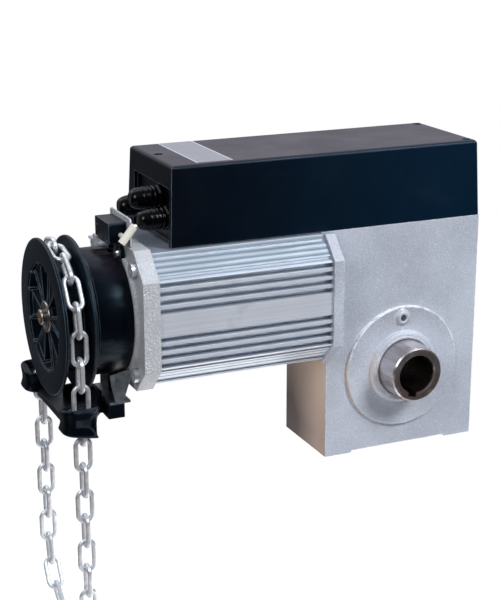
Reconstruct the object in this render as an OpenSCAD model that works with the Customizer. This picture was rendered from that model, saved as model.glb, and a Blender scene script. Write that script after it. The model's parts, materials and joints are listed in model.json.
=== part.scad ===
// Sectional-door operator: a finned motor on a worm gearbox with a hollow output shaft,
// a control cover on top and an emergency hand-chain drive at the motor's far end.
// Millimetres. The origin is the centre of the output bore. +X runs along the motor axis
// towards the gearbox, -Y is the side the shaft's nose points to, +Z is up.

/* [Output shaft] */
// Bore for the door shaft
bore_diameter = 25.4; // [24:0.1:26]
// Width of the keyway in the bore
key_width = 6.35; // [5:0.05:8]
// Outside diameter of the shaft's nose
nose_diameter = 39; // [37:0.5:39.5]
// How far the nose reaches in front of the bore's centre
nose_reach = 52.2; // [46:0.1:56]
// Angle of the keyway from straight down, towards the motor
keyway_angle = 14; // [0:1:45]

/* [Gearbox] */
// Width of the gearbox casting
housing_width = 113; // [112:1:118]
// Depth of the gearbox casting
housing_depth = 60.4; // [60:0.2:64]
// Distance from the output shaft down to the feet
housing_bottom = 57.5; // [55:0.5:65]

/* [Motor] */
// Length of the finned motor housing
motor_length = 117.5; // [112:0.5:120]
// Depth of each cooling groove
fin_depth = 5; // [3:0.5:6]

/* [Control cover] */
// Length of the control cover
cover_length = 220; // [215:1:226]
// Height of the control cover
cover_height = 50.5; // [46:0.5:60]

/* [Hand chain] */
// Wire diameter of the chain
chain_wire = 3; // [2.6:0.1:3.2]
// Straight links between the wheel and the bottom bend, on each side
strand_links = 10; // [8:2:12]

/* [Hidden] */
$fn = 64;
eps = 0.01;
run_gap = 0.05;      // radial clearance of a running fit
clear_gap = 0.35;    // clearance between parts that never touch
seat_gap = 0.02;     // radial clearance of a fixed seat

// worm gearing
gear_module = 2;
wheel_teeth = 39;
centre_distance = 56;
wheel_pitch_r = gear_module * wheel_teeth / 2;
worm_pitch_r = centre_distance - wheel_pitch_r;
tooth_addendum = gear_module;
tooth_dedendum = 1.2 * gear_module;
tooth_pitch = PI * gear_module;
tooth_thickness = 2.5;
pressure_angle = 20;
wheel_tip_r = wheel_pitch_r + tooth_addendum;
wheel_width = 12;
worm_tip_r = worm_pitch_r + tooth_addendum;
worm_turns = 7;
worm_length = worm_turns * tooth_pitch;

// output shaft and its bearings (40 x 68 x 15)
shaft_rear = 38;
seat_r = 20;
shoulder_r = 22;
shoulder_half_y = 10;
output_bearing = [20, 34, 15];
bearing_half_span = 28;
bearing_front_y = -bearing_half_span;
bearing_rear_y = bearing_half_span - output_bearing[2];
nose_r = nose_diameter / 2;
nose_tip_r = nose_r - 1.1;    // the nose tapers a little towards its end
nose_chamfer = 0.9;
bore_chamfer = [0.8, 1.6];    // widening and depth
bore_r = bore_diameter / 2;
key_depth = 2.8;
wheel_key_width = 6;

// gearbox housing
axis_z = centre_distance;
half_w = housing_width / 2;
half_d = housing_depth / 2;
housing_top = 98.5;
foot_width = 20;
foot_height = 1.5;
disc_r = 41.7;
disc_proud = 2;
disc_back_y = -14;
hub_ring_r = 24.6;
hub_ring_proud = 5;
seal_r = hub_ring_r - 3;
lip_depth = 1.2;     // lip in front of each seal, close around the shaft
gear_room_r = wheel_tip_r + 2;
tunnel_r = 20 + seat_gap;
tunnel_x1 = 46;
level_plug = [-1.2, 34.3];    // X and Z of the oil level plug
plug_boss_proud = disc_proud + 2.2;
foot_hole_x = 46.5;
foot_hole_y = 20;
foot_hole_r = 3.4;
foot_hole_depth = 14;

// motor: octagon around the rotor axis
flange_half_y = 50.3;
flange_half_z = 44.7;
flange_chamfer = 16.5;
flange_x1 = -55;
motor_x1 = -61.5;
motor_x0 = motor_x1 - motor_length;
body_half_y = 48.3;
body_half_z = 42;
body_chamfer = 15;
stator_r = 38;
stator_bore_r = 24;
stator_x0 = motor_x0 + 29;
stator_x1 = motor_x1 - 29;
shield_x0 = motor_x0 - 10.7;
spigot_x1 = shield_x0 + 17.5;
tie_y = 36.3;
tie_z = 33.6;
tie_r = 2.5;
groove_width = 3;
groove_levels = [9, 14.5, 20, 25.5];
shoulder_groove_levels = [29.6, 39.2];

// rotor bearings (17 x 40 x 12)
rotor_bearing = [8.5, 20, 12];
rotor_bearing_x = [-56, 34, shield_x0 + 5];
worm_collar = 6;     // plain length at each end of the worm
rotor_seat_r = 10;   // radius of the shaft under the rotor's core
rotor_seat_x0 = stator_x0 - 14;
rotor_air_gap = 0.4;

// hand drive housing, a drum on the end shield
drum_r = 40;
drum_x0 = shield_x0 - 24.3;
drum_x1 = shield_x0 - 0.5;
drum_wall = 3;
stub_r = 6;
lug_r = 4.2;
lug_ring_r = 43;
lug_angles = [68, 112, 248, 292];
bush_r = 9;
bush_flange_x = drum_x0 - 1.8;

// clutch between the hand drive and the rotor
clutch_r = 24;
clutch_x = drum_x0 + 10;
clutch_thickness = 4;
lining_thickness = 1.5;
clutch_hub_x = shield_x0 - 5.5;
clutch_hub_thickness = 3;

// chain wheel
wheel_face_x = drum_x0 - 24;
wheel_back_x = drum_x0 - 3.4;
flange_thickness = 2.4;
rim_r = 49;
rim_inner_r = 34;
groove_floor_r = 35.6;
wheel_x = drum_x0 - 14.5;
hub_r = 8;

// chain: half a turn over the wheel takes bend_links links
bend_links = 8;
chain_pitch = 17;
chain_gap = 0.4;      // slack between two links
chain_width = 12;
bend_step = 180 / bend_links;
strand_y = chain_pitch / 2 / sin(bend_step / 2);
swing_link = 4;       // links of each strand above the point where the loop swings

// chain guide
eye_half_x = 13.3;
eye_half_y = 11.5;
eye_hole = 15.4;
eye_z0 = -9;
eye_z1 = 12;
guide_bar_top = -3.2;
guide_foot_z0 = -5;
bracket_sheet = 1.5;
bracket_z0 = 4.4;
bracket_z1 = bracket_z0 + bracket_sheet;
guide_screw_x = drum_x0 + 17;
guide_screw_y = [-8, 0];
guide_foot_x = [guide_screw_x - 11, guide_screw_x + 3.5];
guide_foot_y = [-33, 5];
drum_foot_y = [-12, 4];
gusset_top = 26;

// control cover
cover_x1 = 56;
cover_x0 = cover_x1 - cover_length;
cover_y0 = -30;
cover_y1 = 49;
cover_z1 = housing_top + cover_height;
cover_draft = 2;
cover_wall = 2.5;
gland_recess_x = cover_x0 + 4.6;
gland_recess_y = [-26, 38];
gland_recess_z = 134.5;
gland_spots = [[-5, 126], [-19, 115.5], [17, 116.5]];
gland_r = 7.2;
gland_hex_r = 7.9;
base_z1 = housing_top + 2.5;
cover_screw_spots = [[-155.5, 12], [48.5, 41], [48.5, -22.8]];
// where each screw's post in the cover ends: the left one stops above the gland plate
cover_post_z = [gland_recess_z + 2.7, base_z1 + 0.3, base_z1 + 0.3];
cover_screw_z = cover_z1 - 3;
cover_screw_bite = 2.7;
base_screw_spots = [[-45, -22], [-45, 22], [49, -12], [49, 24]];
base_screw_r = 1.95;

// interlock switch on the drum
switch_plate = 1.2;
bracket_top = 102;
bracket_x0 = drum_x0 + 10;
switch_x = [shield_x0 - 10.6, shield_x0 + 0.8];
switch_y = [-20.5, 6];
switch_z = [bracket_top + 0.2, 115.6];
switch_holes = [[-16.5, 105.5], [2, 112]];
plunger_x = shield_x0 - 4.9;
plunger_y = -7;
plunger_r = 1.5;
bracket_screw_x = shield_x0 + 5.5;
bracket_screw_y = [-8, 5];
lead_y = -29.5;

// terminal board inside the control cover
board_pillars = [[-114, -12], [-114, 32], [-46, -12], [-46, 32]];
board_z = base_z1 + 5.1;
block_x = [-100, -76, -52];

// limit switch unit inside the control cover
cam_axis_z = 118;
camshaft_r = 3;
cam_spots = [16, 23, 30, 37];
cam_r = 9;

// ---- helpers ----

module rod_x(x0, x1, r) translate([x0, 0, 0]) rotate([0, 90, 0]) cylinder(h = x1 - x0, r = r);

module rod_y(y0, y1, r) translate([0, y0, 0]) rotate([-90, 0, 0]) cylinder(h = y1 - y0, r = r);

module ring_x(x0, x1, outer, inner) difference() {
    rod_x(x0, x1, outer);
    rod_x(x0 - 1, x1 + 1, inner);
}

// a (Y, Z) outline swept from x0 to x1
module sweep_x(x0, x1) translate([x0, 0, 0]) rotate([90, 0, 90]) linear_extrude(x1 - x0) children();

// an (X, Z) outline swept from y0 to y1
module sweep_y(y0, y1) translate([0, y1, 0]) rotate([90, 0, 0]) linear_extrude(y1 - y0) children();

module box(low, high) translate(low) cube(high - low);

module chamfered_rect(half_y, half_z, chamfer) polygon([
    [half_y, half_z - chamfer], [half_y - chamfer, half_z],
    [chamfer - half_y, half_z], [-half_y, half_z - chamfer],
    [-half_y, chamfer - half_z], [chamfer - half_y, -half_z],
    [half_y - chamfer, -half_z], [half_y, chamfer - half_z]]);

module round_rect(low, high, r) hull() {
    for (x = [low[0] + r, high[0] - r])
        for (y = [low[1] + r, high[1] - r])
            translate([x, y]) circle(r, $fn = 24);
}

// children moved onto the rotor axis
module on_rotor_axis() translate([0, 0, axis_z]) children();

module at_tie_bolts()
    for (side = [-1, 1])
        for (level = [-1, 1])
            translate([0, side * tie_y, axis_z + level * tie_z]) children();

// ball bearing [bore radius, outer radius, width], its axis along +Z from z = 0
function ball_r(b) = 0.27 * (b[1] - b[0]);
function ball_circle_r(b) = (b[0] + b[1]) / 2;
function race_half_gap(b) = 0.18 * (b[1] - b[0]);

module bearing_ring(b, r0, r1) rotate_extrude() difference() {
    translate([r0, 0]) square([r1 - r0, b[2]]);
    translate([ball_circle_r(b), b[2] / 2]) circle(ball_r(b) + clear_gap);
}

module bearing_outer_ring(b) bearing_ring(b, ball_circle_r(b) + race_half_gap(b), b[1]);

module bearing_inner_ring(b) bearing_ring(b, b[0] + seat_gap, ball_circle_r(b) - race_half_gap(b));

module bearing_balls(b, count)
    for (i = [0:count - 1])
        rotate([0, 0, 360 * i / count])
            translate([ball_circle_r(b), 0, b[2] / 2])
                sphere(ball_r(b), $fn = 24);

module at_output_bearings()
    for (y = [bearing_front_y, bearing_rear_y])
        translate([0, y, 0]) rotate([-90, 0, 0]) children();

module at_rotor_bearings()
    for (x = rotor_bearing_x)
        translate([x, 0, axis_z]) rotate([0, 90, 0]) children();

// pan-head screw, its head's underside at z = 0 and its shank running down
module screw(head_r, head_h, shank_r, shank_l, socket_r) difference() {
    union() {
        cylinder(h = head_h, r = head_r);
        translate([0, 0, -shank_l]) cylinder(h = shank_l + eps, r = shank_r);
    }
    translate([0, 0, head_h / 2]) cylinder(h = head_h, r = socket_r, $fn = 6);
}

// ---- gearbox ----

module foot_holes()
    for (x = [-foot_hole_x, foot_hole_x])
        for (y = [-foot_hole_y, foot_hole_y])
            translate([x, y, -housing_bottom - 1]) cylinder(h = foot_hole_depth + 1, r = foot_hole_r);

module gearbox_housing() color([0.72, 0.73, 0.75]) difference() {
    union() {
        box([-half_w, -half_d, -housing_bottom], [half_w, half_d, housing_top]);
        on_rotor_axis() intersection() {
            sweep_x(motor_x1, flange_x1) chamfered_rect(flange_half_y, flange_half_z, flange_chamfer);
            box([motor_x1, -flange_half_y, -flange_half_z],
                [flange_x1, flange_half_y, housing_top - axis_z - 0.1]);
        }
        rod_y(half_d - eps, half_d + disc_proud, disc_r);
        rod_y(half_d, half_d + hub_ring_proud, hub_ring_r);
    }
    // relief between the feet
    box([foot_width - half_w, -half_d - 1, -housing_bottom - 1],
        [half_w - foot_width, half_d + 1, foot_height - housing_bottom]);
    // opening for the front cover, the gear room and the rear bearing's seat
    rod_y(-half_d - 1, disc_back_y, disc_r + seat_gap);
    rod_y(disc_back_y - 0.5, bearing_rear_y, gear_room_r);
    rod_y(bearing_rear_y - 1, bearing_half_span, output_bearing[1] + seat_gap);
    rod_y(bearing_half_span - 1, half_d + hub_ring_proud - lip_depth, seal_r);
    rod_y(bearing_half_span, half_d + hub_ring_proud + 1, nose_r + clear_gap);
    // tunnel for the worm and its bearings
    on_rotor_axis() rod_x(motor_x1 - 1, tunnel_x1 + seat_gap, tunnel_r);
    at_tie_bolts() rod_x(motor_x1 - 1, flange_x1 + 1, tie_r + seat_gap);
    at_base_screws(housing_top - 8) cylinder(h = 9, r = base_screw_r + seat_gap);
    foot_holes();
}

// disc pressed into the housing's front, with the seal's ring and the boss of the level plug
module front_bearing_cover() color([0.74, 0.75, 0.77]) difference() {
    union() {
        rod_y(-half_d - disc_proud, disc_back_y, disc_r);
        rod_y(-half_d - hub_ring_proud, -half_d, hub_ring_r);
        at_level_plug() rod_y(-half_d - plug_boss_proud, -half_d, 5);
    }
    rod_y(bearing_front_y, disc_back_y + 1, output_bearing[1] + seat_gap);
    rod_y(-half_d - hub_ring_proud + lip_depth, disc_back_y + 1, seal_r);
    rod_y(-half_d - hub_ring_proud - 1, disc_back_y + 1, nose_r + clear_gap);
    at_level_plug() rod_y(-half_d - plug_boss_proud - 1, -half_d + 4.7, 2);
}

module at_level_plug() translate([level_plug[0], 0, level_plug[1]]) children();

module oil_level_plug() color([0.6, 0.6, 0.62])
    at_level_plug() translate([0, -half_d - plug_boss_proud + 5.5, 0]) rotate([90, 0, 0]) difference() {
        cylinder(h = 5.2, r = 1.95);
        translate([0, 0, 3]) cylinder(h = 3, r = 1, $fn = 6);
    }

// (radius, Y) outline of the hollow shaft, from the bore's mouth round the outside
module shaft_outline() polygon([
    [bore_r + bore_chamfer[0], -nose_reach], [nose_tip_r - nose_chamfer, -nose_reach],
    [nose_tip_r, nose_chamfer - nose_reach], [nose_r, -half_d - hub_ring_proud],
    [nose_r, -bearing_half_span], [seat_r, -bearing_half_span],
    [seat_r, -shoulder_half_y], [shoulder_r, -shoulder_half_y],
    [shoulder_r, shoulder_half_y], [seat_r, shoulder_half_y],
    [seat_r, bearing_half_span], [nose_r, bearing_half_span],
    [nose_r, shaft_rear], [bore_r, shaft_rear],
    [bore_r, bore_chamfer[1] - nose_reach]]);

module output_shaft() color([0.45, 0.4, 0.36]) difference() {
    rotate([-90, 0, 0]) rotate_extrude() shaft_outline();
    rotate([0, keyway_angle, 0])
        box([-key_width / 2, -nose_reach - 1, -bore_r - key_depth], [key_width / 2, shaft_rear + 1, 0]);
    wheel_key(wheel_width / 2, 0);
}

// the worm wheel's key, or with no clearance its keyway in the shaft
module wheel_key(half_length, clearance)
    box([clearance - wheel_key_width / 2, -half_length, shoulder_r - 3 + clearance],
        [wheel_key_width / 2 - clearance, half_length, shoulder_r + 3 - clearance]);

// involute flank: half the tooth's angle at radius r
function involute(a) = tan(a) * 180 / PI - a;
base_r = wheel_pitch_r * cos(pressure_angle);
function half_tooth_angle(r) = tooth_thickness / 2 / wheel_pitch_r * 180 / PI
    + involute(pressure_angle) - involute(r > base_r ? acos(base_r / r) : 0);

module worm_wheel_outline() {
    radii = [wheel_pitch_r - tooth_dedendum, wheel_pitch_r, wheel_tip_r];
    polygon([for (tooth = [0:wheel_teeth - 1])
        for (side = [-1, 1])
            for (i = [0:2])
                let (r = side < 0 ? radii[i] : radii[2 - i],
                     a = 360 * tooth / wheel_teeth + side * half_tooth_angle(r))
                [r * cos(a), r * sin(a)]]);
}

// the top tooth gap faces the worm at rest
module worm_wheel() color([0.75, 0.55, 0.25]) difference() {
    rotate([0, -90, 0]) sweep_y(-wheel_width / 2, wheel_width / 2)
        rotate(180 / wheel_teeth) worm_wheel_outline();
    rod_y(-wheel_width, wheel_width, shoulder_r + seat_gap);
    wheel_key(wheel_width, 0);
    for (a = [30:60:330])
        rotate([0, a, 0]) translate([29.5, 0, 0]) rod_y(-wheel_width, wheel_width, 3.5);
}

module worm_wheel_key() color([0.55, 0.55, 0.57]) wheel_key(wheel_width / 2 - 0.2, run_gap);

module output_bearing_outer_rings() color([0.7, 0.7, 0.72])
    at_output_bearings() bearing_outer_ring(output_bearing);

module output_bearing_inner_rings() color([0.7, 0.7, 0.72])
    at_output_bearings() bearing_inner_ring(output_bearing);

module output_bearing_balls() color([0.8, 0.8, 0.82])
    at_output_bearings() bearing_balls(output_bearing, 10);

module output_shaft_seals() color([0.12, 0.1, 0.1])
    for (turn = [0, 180])
        rotate([0, 0, turn]) difference() {
            rod_y(bearing_half_span + 0.8, half_d + hub_ring_proud - lip_depth, seal_r - seat_gap);
            rod_y(bearing_half_span, half_d + hub_ring_proud, nose_r + run_gap);
        }

// ---- rotor ----

// cross-section of a one-start thread: the radius falls from tip to root either side of angle 0
worm_tip_half = tooth_thickness / 2 - tooth_addendum * tan(pressure_angle);
worm_root_half = tooth_thickness / 2 + tooth_dedendum * tan(pressure_angle);
worm_root_r = worm_pitch_r - tooth_dedendum;
function worm_radius(a) =
    let (s = abs(a) / 360 * tooth_pitch)
    s < worm_tip_half ? worm_tip_r
    : s > worm_root_half ? worm_root_r
    : worm_tip_r - (s - worm_tip_half) / tan(pressure_angle);

module worm_thread() rotate([0, 90, 0]) rotate(180 * worm_turns)
    linear_extrude(worm_length, center = true, twist = -360 * worm_turns,
                   slices = 12 * worm_turns, $fn = 24)
        polygon([for (a = [-172.5:15:172.5]) worm_radius(a) * [cos(a), sin(a)]]);

module worm_shaft() color([0.6, 0.6, 0.62]) on_rotor_axis() {
    worm_thread();
    for (turn = [0, 180])
        rotate([0, 0, turn]) rod_x(worm_length / 2 - 0.5, worm_length / 2 + worm_collar, worm_root_r - 0.5);
    rod_x(shield_x0 - 2.8, tunnel_x1 - 1, rotor_bearing[0]);
    rod_x(rotor_seat_x0, motor_x1 + 1.5, rotor_seat_r);
}

module rotor_core() color([0.4, 0.41, 0.43]) on_rotor_axis()
    ring_x(stator_x0, stator_x1, stator_bore_r - rotor_air_gap, rotor_seat_r + seat_gap);

module rotor_end_rings() color([0.75, 0.76, 0.78]) on_rotor_axis() {
    ring_x(stator_x0 - 8, stator_x0 - eps, stator_bore_r - 1.5, 15);
    ring_x(stator_x1 + eps, stator_x1 + 8, stator_bore_r - 1.5, 15);
}

module rotor_bearing_outer_rings() color([0.7, 0.7, 0.72])
    at_rotor_bearings() bearing_outer_ring(rotor_bearing);

module rotor_bearing_inner_rings() color([0.7, 0.7, 0.72])
    at_rotor_bearings() bearing_inner_ring(rotor_bearing);

module rotor_bearing_balls() color([0.8, 0.8, 0.82])
    at_rotor_bearings() bearing_balls(rotor_bearing, 8);

module rotor_shaft_seal() color([0.12, 0.1, 0.1]) on_rotor_axis()
    ring_x(-43.5, -38, tunnel_r - seat_gap, rotor_bearing[0] + run_gap);

// ---- motor ----

// one side's cooling grooves, cut into the octagon from its envelope
function envelope_y(level) = body_half_y - max(0, level - (body_half_z - body_chamfer));

module motor_outline() difference() {
    chamfered_rect(body_half_y, body_half_z, body_chamfer);
    circle(stator_r + seat_gap);
    for (side = [-1, 1])
        for (up = [-1, 1]) {
            for (level = groove_levels)
                translate([side * body_half_y, up * level])
                    square([2 * fin_depth, groove_width], center = true);
            for (level = shoulder_groove_levels)
                translate([side * (envelope_y(level) + 5), up * level])
                    square([10 + 3, 1.6], center = true);
        }
}

module motor_housing() color([0.78, 0.79, 0.8]) difference() {
    on_rotor_axis() sweep_x(motor_x0, motor_x1) motor_outline();
    at_tie_bolts() rod_x(motor_x0 - 1, motor_x1 + 1, tie_r + seat_gap);
}

module stator_outline() difference() {
    circle(stator_r);
    circle(stator_bore_r);
    for (a = [0:15:345])
        rotate(a) {
            translate([stator_bore_r - 1, -0.8]) square([3, 1.6]);
            translate([stator_bore_r + 1.5, -1.6]) square([7, 3.2]);
        }
}

module stator_core() color([0.42, 0.43, 0.45]) on_rotor_axis()
    sweep_x(stator_x0, stator_x1) stator_outline();

// coil sides in the slots, joined by a bundle at each end
module stator_windings() color([0.65, 0.32, 0.12]) on_rotor_axis() {
    for (a = [0:15:345])
        rotate([a, 0, 0])
            box([stator_x0 - 1, stator_bore_r + 2, -1.3], [stator_x1 + 1, stator_bore_r + 8, 1.3]);
    for (x = [stator_x0 - 9, stator_x1 + 9])
        translate([x, 0, 0]) rotate([0, 90, 0]) rotate_extrude()
            translate([stator_bore_r + 1.5, -8.5]) square([9.5, 17]);
}

module end_shield() color([0.74, 0.75, 0.77]) difference() {
    on_rotor_axis() {
        sweep_x(shield_x0, motor_x0) chamfered_rect(flange_half_y, flange_half_z, flange_chamfer);
        rod_x(motor_x0 - eps, spigot_x1, stator_r - 0.1);
        // raised rim around the drum
        ring_x(shield_x0 - 2.5, shield_x0 + eps, drum_r + 2.2, drum_r + 0.3);
    }
    on_rotor_axis() {
        rod_x(shield_x0 + 5, spigot_x1 + 1, rotor_bearing[1] + seat_gap);
        rod_x(shield_x0 - 3, spigot_x1 + 1, 13);
        ring_x(shield_x0 + 12, spigot_x1 + 1, stator_r - 4, 24);
    }
    at_tie_bolts() {
        rod_x(shield_x0 - 1, motor_x0 + 1, tie_r + seat_gap);
        rod_x(shield_x0 - 1, shield_x0 + 1.5, 5);
    }
    at_drum_lugs() {
        rod_x(shield_x0 - 1, shield_x0 + 8, 1.6);
        rod_x(shield_x0 - 3, shield_x0, lug_r + 0.5);
    }
    // tapped holes for the switch bracket's foot
    for (y = bracket_screw_y)
        translate([bracket_screw_x, y, axis_z + flange_half_z - 6]) cylinder(h = 7, r = 1.3);
}

module tie_bolts() color([0.8, 0.8, 0.82]) at_tie_bolts() difference() {
    union() {
        rod_x(shield_x0, flange_x1 - 0.5, tie_r);
        rod_x(shield_x0 - 3.2, shield_x0 + 1.45, 4.2);
    }
    translate([shield_x0 - 4, 0, 0]) rotate([0, 90, 0]) cylinder(h = 3.4, r = 2.4, $fn = 6);
}

// ---- hand drive ----

module at_drum_lugs() on_rotor_axis()
    for (a = lug_angles)
        rotate([a, 0, 0]) translate([0, lug_ring_r, 0]) children();

module hand_drive_housing() color([0.05, 0.05, 0.06]) difference() {
    union() {
        on_rotor_axis() {
            rod_x(drum_x0, drum_x1, drum_r);
            rod_x(bush_flange_x, drum_x0 + eps, 14);
        }
        at_drum_lugs() rod_x(drum_x1 - drum_wall, drum_x1, lug_r);
        // foot that carries the chain guide
        box([guide_screw_x - 4, drum_foot_y[0], bracket_z1],
            [guide_screw_x + 4, drum_foot_y[1], axis_z - drum_r + 3]);
    }
    on_rotor_axis() {
        rod_x(drum_x0 + drum_wall, drum_x1 - drum_wall, drum_r - drum_wall);
        rod_x(drum_x1 - drum_wall - 1, drum_x1 + 1, 26);
        rod_x(bush_flange_x - 1, drum_x0 + drum_wall + 1, bush_r + seat_gap);
    }
    at_drum_lugs() rod_x(drum_x1 - drum_wall - 1, drum_x1 + 1, 1.8);
    for (y = guide_screw_y)
        translate([guide_screw_x, y, bracket_z1 - 1]) cylinder(h = 11, r = 1.6);
    // slot under the interlock switch's plunger
    translate([plunger_x, plunger_y, axis_z + drum_r - 8]) cylinder(h = 10, r = 3);
}

module hand_drive_screws() color([0.75, 0.75, 0.77])
    at_drum_lugs() translate([drum_x1 - drum_wall, 0, 0]) rotate([0, -90, 0]) screw(2.9, 2.2, 1.5, 9, 1.2);

module hand_drive_bush() color([0.75, 0.58, 0.28]) on_rotor_axis()
    ring_x(bush_flange_x, drum_x0 + 7, bush_r, stub_r + run_gap);

module hand_drive_shaft() color([0.6, 0.6, 0.62]) on_rotor_axis() difference() {
    union() {
        rod_x(wheel_face_x + 4, clutch_x + 6.5, stub_r);
        ring_x(drum_x0 + 7.5, drum_x0 + 9, 9, stub_r - eps);
    }
    rod_x(wheel_face_x, wheel_face_x + 18, 2.5);
}

// one of six openings between the webs of the chain wheel
module wheel_window() polygon(concat(
    [for (a = [-24:12:24]) (hub_r + 4) * [cos(a), sin(a)]],
    [for (a = [17:-8.5:-17]) (rim_inner_r - 1.5) * [cos(a), sin(a)]]));

module chain_wheel() color([0.06, 0.06, 0.07]) on_rotor_axis() difference() {
    union() {
        ring_x(wheel_face_x, wheel_face_x + flange_thickness, rim_r, rim_inner_r - 1);
        ring_x(wheel_face_x, wheel_back_x, groove_floor_r, rim_inner_r - 1);
        rod_x(wheel_back_x - flange_thickness, wheel_back_x, rim_r);
        rod_x(wheel_face_x + 6.5, wheel_face_x + 9, groove_floor_r - eps);
        rod_x(wheel_face_x + 3, wheel_back_x, hub_r + 2);
        // thin ribs from the hub to the rim
        for (a = [0:60:300])
            for (side = [-1, 1])
                rotate([a + side * 8, 0, 0])
                    box([wheel_face_x + 4, hub_r, -0.8], [wheel_face_x + 7, rim_inner_r, 0.8]);
    }
    rod_x(wheel_face_x - 1, wheel_back_x + 1, stub_r + seat_gap);
    for (a = [30:60:330])
        rotate([a, 0, 0])
            sweep_x(wheel_face_x + 3, wheel_back_x - flange_thickness - 4) wheel_window();
}

module wheel_washer() color([0.8, 0.78, 0.72]) on_rotor_axis()
    ring_x(wheel_face_x + 1.4, wheel_face_x + 2.9, 10, 2.8);

module wheel_bolt() color([0.72, 0.55, 0.4])
    translate([wheel_face_x + 1.4, 0, axis_z]) rotate([0, -90, 0]) screw(5, 5.4, 2.45, 16, 2.4);

module clutch_disc() color([0.5, 0.5, 0.52]) on_rotor_axis() {
    ring_x(clutch_x, clutch_x + clutch_thickness, clutch_r, stub_r + run_gap);
    ring_x(clutch_x - 0.4, clutch_x + eps, 12, stub_r + run_gap);
}

module clutch_lining() color([0.3, 0.24, 0.2]) on_rotor_axis()
    ring_x(clutch_x + clutch_thickness + eps, clutch_x + clutch_thickness + lining_thickness, clutch_r, 14);

module rotor_clutch_hub() color([0.5, 0.5, 0.52]) on_rotor_axis() difference() {
    union() {
        rod_x(clutch_hub_x, clutch_hub_x + clutch_hub_thickness, clutch_r);
        rod_x(clutch_hub_x + clutch_hub_thickness - eps, shield_x0 + 4.4, 12.5);
    }
    rod_x(shield_x0 - 2.9, shield_x0 + 5, rotor_bearing[0] + seat_gap);
    rod_x(clutch_hub_x - 1, shield_x0 - 2.8, 7);
}

// yoke under the wheel with one eye for each strand
module chain_guide() color([0.05, 0.05, 0.06]) difference() {
    union() {
        for (side = [-1, 1])
            translate([wheel_x, side * strand_y, eye_z0]) linear_extrude(eye_z1 - eye_z0)
                round_rect([-eye_half_x, -eye_half_y], [eye_half_x, eye_half_y], 4);
        box([wheel_x - 6, -strand_y, eye_z0], [wheel_x + 7, strand_y, guide_bar_top]);
        box([wheel_x + 6, -14, eye_z0], [guide_foot_x[0] + 1, 8, guide_bar_top]);
        box([guide_foot_x[0], guide_foot_y[0], guide_foot_z0],
            [guide_foot_x[1], guide_foot_y[1], bracket_z0 - 0.1]);
    }
    for (side = [-1, 1])
        translate([wheel_x, side * strand_y, eye_z0 - 1]) linear_extrude(eye_z1 - eye_z0 + 2)
            round_rect(-eye_hole / 2 * [1, 1], eye_hole / 2 * [1, 1], 3);
    for (y = guide_screw_y)
        translate([guide_screw_x, y, eye_z0 - 1]) cylinder(h = 20, r = 1.6);
}

// sheet on top of the guide's foot, with a gusset turned up at its front edge
module guide_bracket() color([0.3, 0.32, 0.34]) difference() {
    union() {
        box([guide_foot_x[0] + 1, guide_foot_y[0], bracket_z0],
            [guide_foot_x[1], guide_foot_y[1], bracket_z1 - 0.1]);
        sweep_y(guide_foot_y[0], guide_foot_y[0] + bracket_sheet) polygon([
            [guide_foot_x[0] + 5, bracket_z0], [guide_foot_x[1] - 5, bracket_z0],
            [guide_foot_x[1], gusset_top - 7], [guide_foot_x[1], gusset_top],
            [guide_foot_x[0] + 1.5, gusset_top - 2.5], [guide_foot_x[0] + 2.5, gusset_top - 10]]);
    }
    for (y = guide_screw_y)
        translate([guide_screw_x, y, bracket_z0 - 1]) cylinder(h = 4, r = 1.7);
}

module guide_screws() color([0.75, 0.75, 0.77])
    for (y = guide_screw_y)
        translate([guide_screw_x, y, guide_foot_z0]) rotate([180, 0, 0]) screw(3.2, 2, 1.5, 18, 1.3);

// ---- hand chain ----

// link in the XZ plane, centred, its long axis along Z
link_bend_r = (chain_width - chain_wire) / 2;
link_straight = (chain_pitch + chain_gap + chain_wire) / 2 - link_bend_r;

module link() {
    for (flip = [0, 180])
        rotate([0, flip, 0]) {
            translate([0, 0, link_straight]) rotate([90, 0, 0]) rotate_extrude(angle = 180)
                translate([link_bend_r, 0]) circle(chain_wire / 2, $fn = 32);
            translate([link_bend_r, 0, -link_straight - eps])
                cylinder(h = 2 * (link_straight + eps), r = chain_wire / 2, $fn = 32);
        }
}

// every second link is turned a quarter about its own length
module turned_link(i) rotate([0, 0, 90 * (i % 2)]) link();

// side -1 is the front strand, +1 the rear; link k hangs k pitches below the wheel's axis
module strand_link(side, k)
    translate([wheel_x, side * strand_y, axis_z - chain_pitch * (k + 0.5)])
        turned_link(side < 0 ? k : k + 1);

// half a turn of links about z; up is 1 over the wheel and -1 at the bottom of the loop
module chain_bend(z, up)
    for (i = [0:bend_links - 1])
        translate([wheel_x, 0, z])
            rotate([-up * (i + 0.5) * bend_step, 0, 0])
                translate([0, -strand_y * cos(bend_step / 2), 0])
                    turned_link(up > 0 ? i + 1 : i);

module hand_chain_upper() color([0.75, 0.76, 0.78]) {
    chain_bend(axis_z, 1);
    for (side = [-1, 1])
        for (k = [0:swing_link - 1])
            strand_link(side, k);
}

module hand_chain_lower() color([0.75, 0.76, 0.78]) {
    chain_bend(axis_z - strand_links * chain_pitch, -1);
    for (side = [-1, 1])
        for (k = [swing_link:strand_links - 1])
            strand_link(side, k);
}

// ---- interlock switch ----

module interlock_switch_body() color([0.06, 0.06, 0.07]) difference() {
    sweep_x(switch_x[0], switch_x[1])
        round_rect([switch_y[0], switch_z[0]], [switch_y[1], switch_z[1]], 1.5);
    translate([plunger_x, plunger_y, switch_z[0] - 1]) cylinder(h = 7, r = plunger_r + run_gap);
    for (spot = switch_holes)
        translate([0, spot[0], spot[1]]) rod_x(switch_x[0] - 1, switch_x[1] + 1, 1.5);
}

module interlock_switch_plunger() color([0.75, 0.12, 0.1])
    translate([plunger_x, plunger_y, axis_z + drum_r + 1]) cylinder(h = 9, r = plunger_r);

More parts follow.
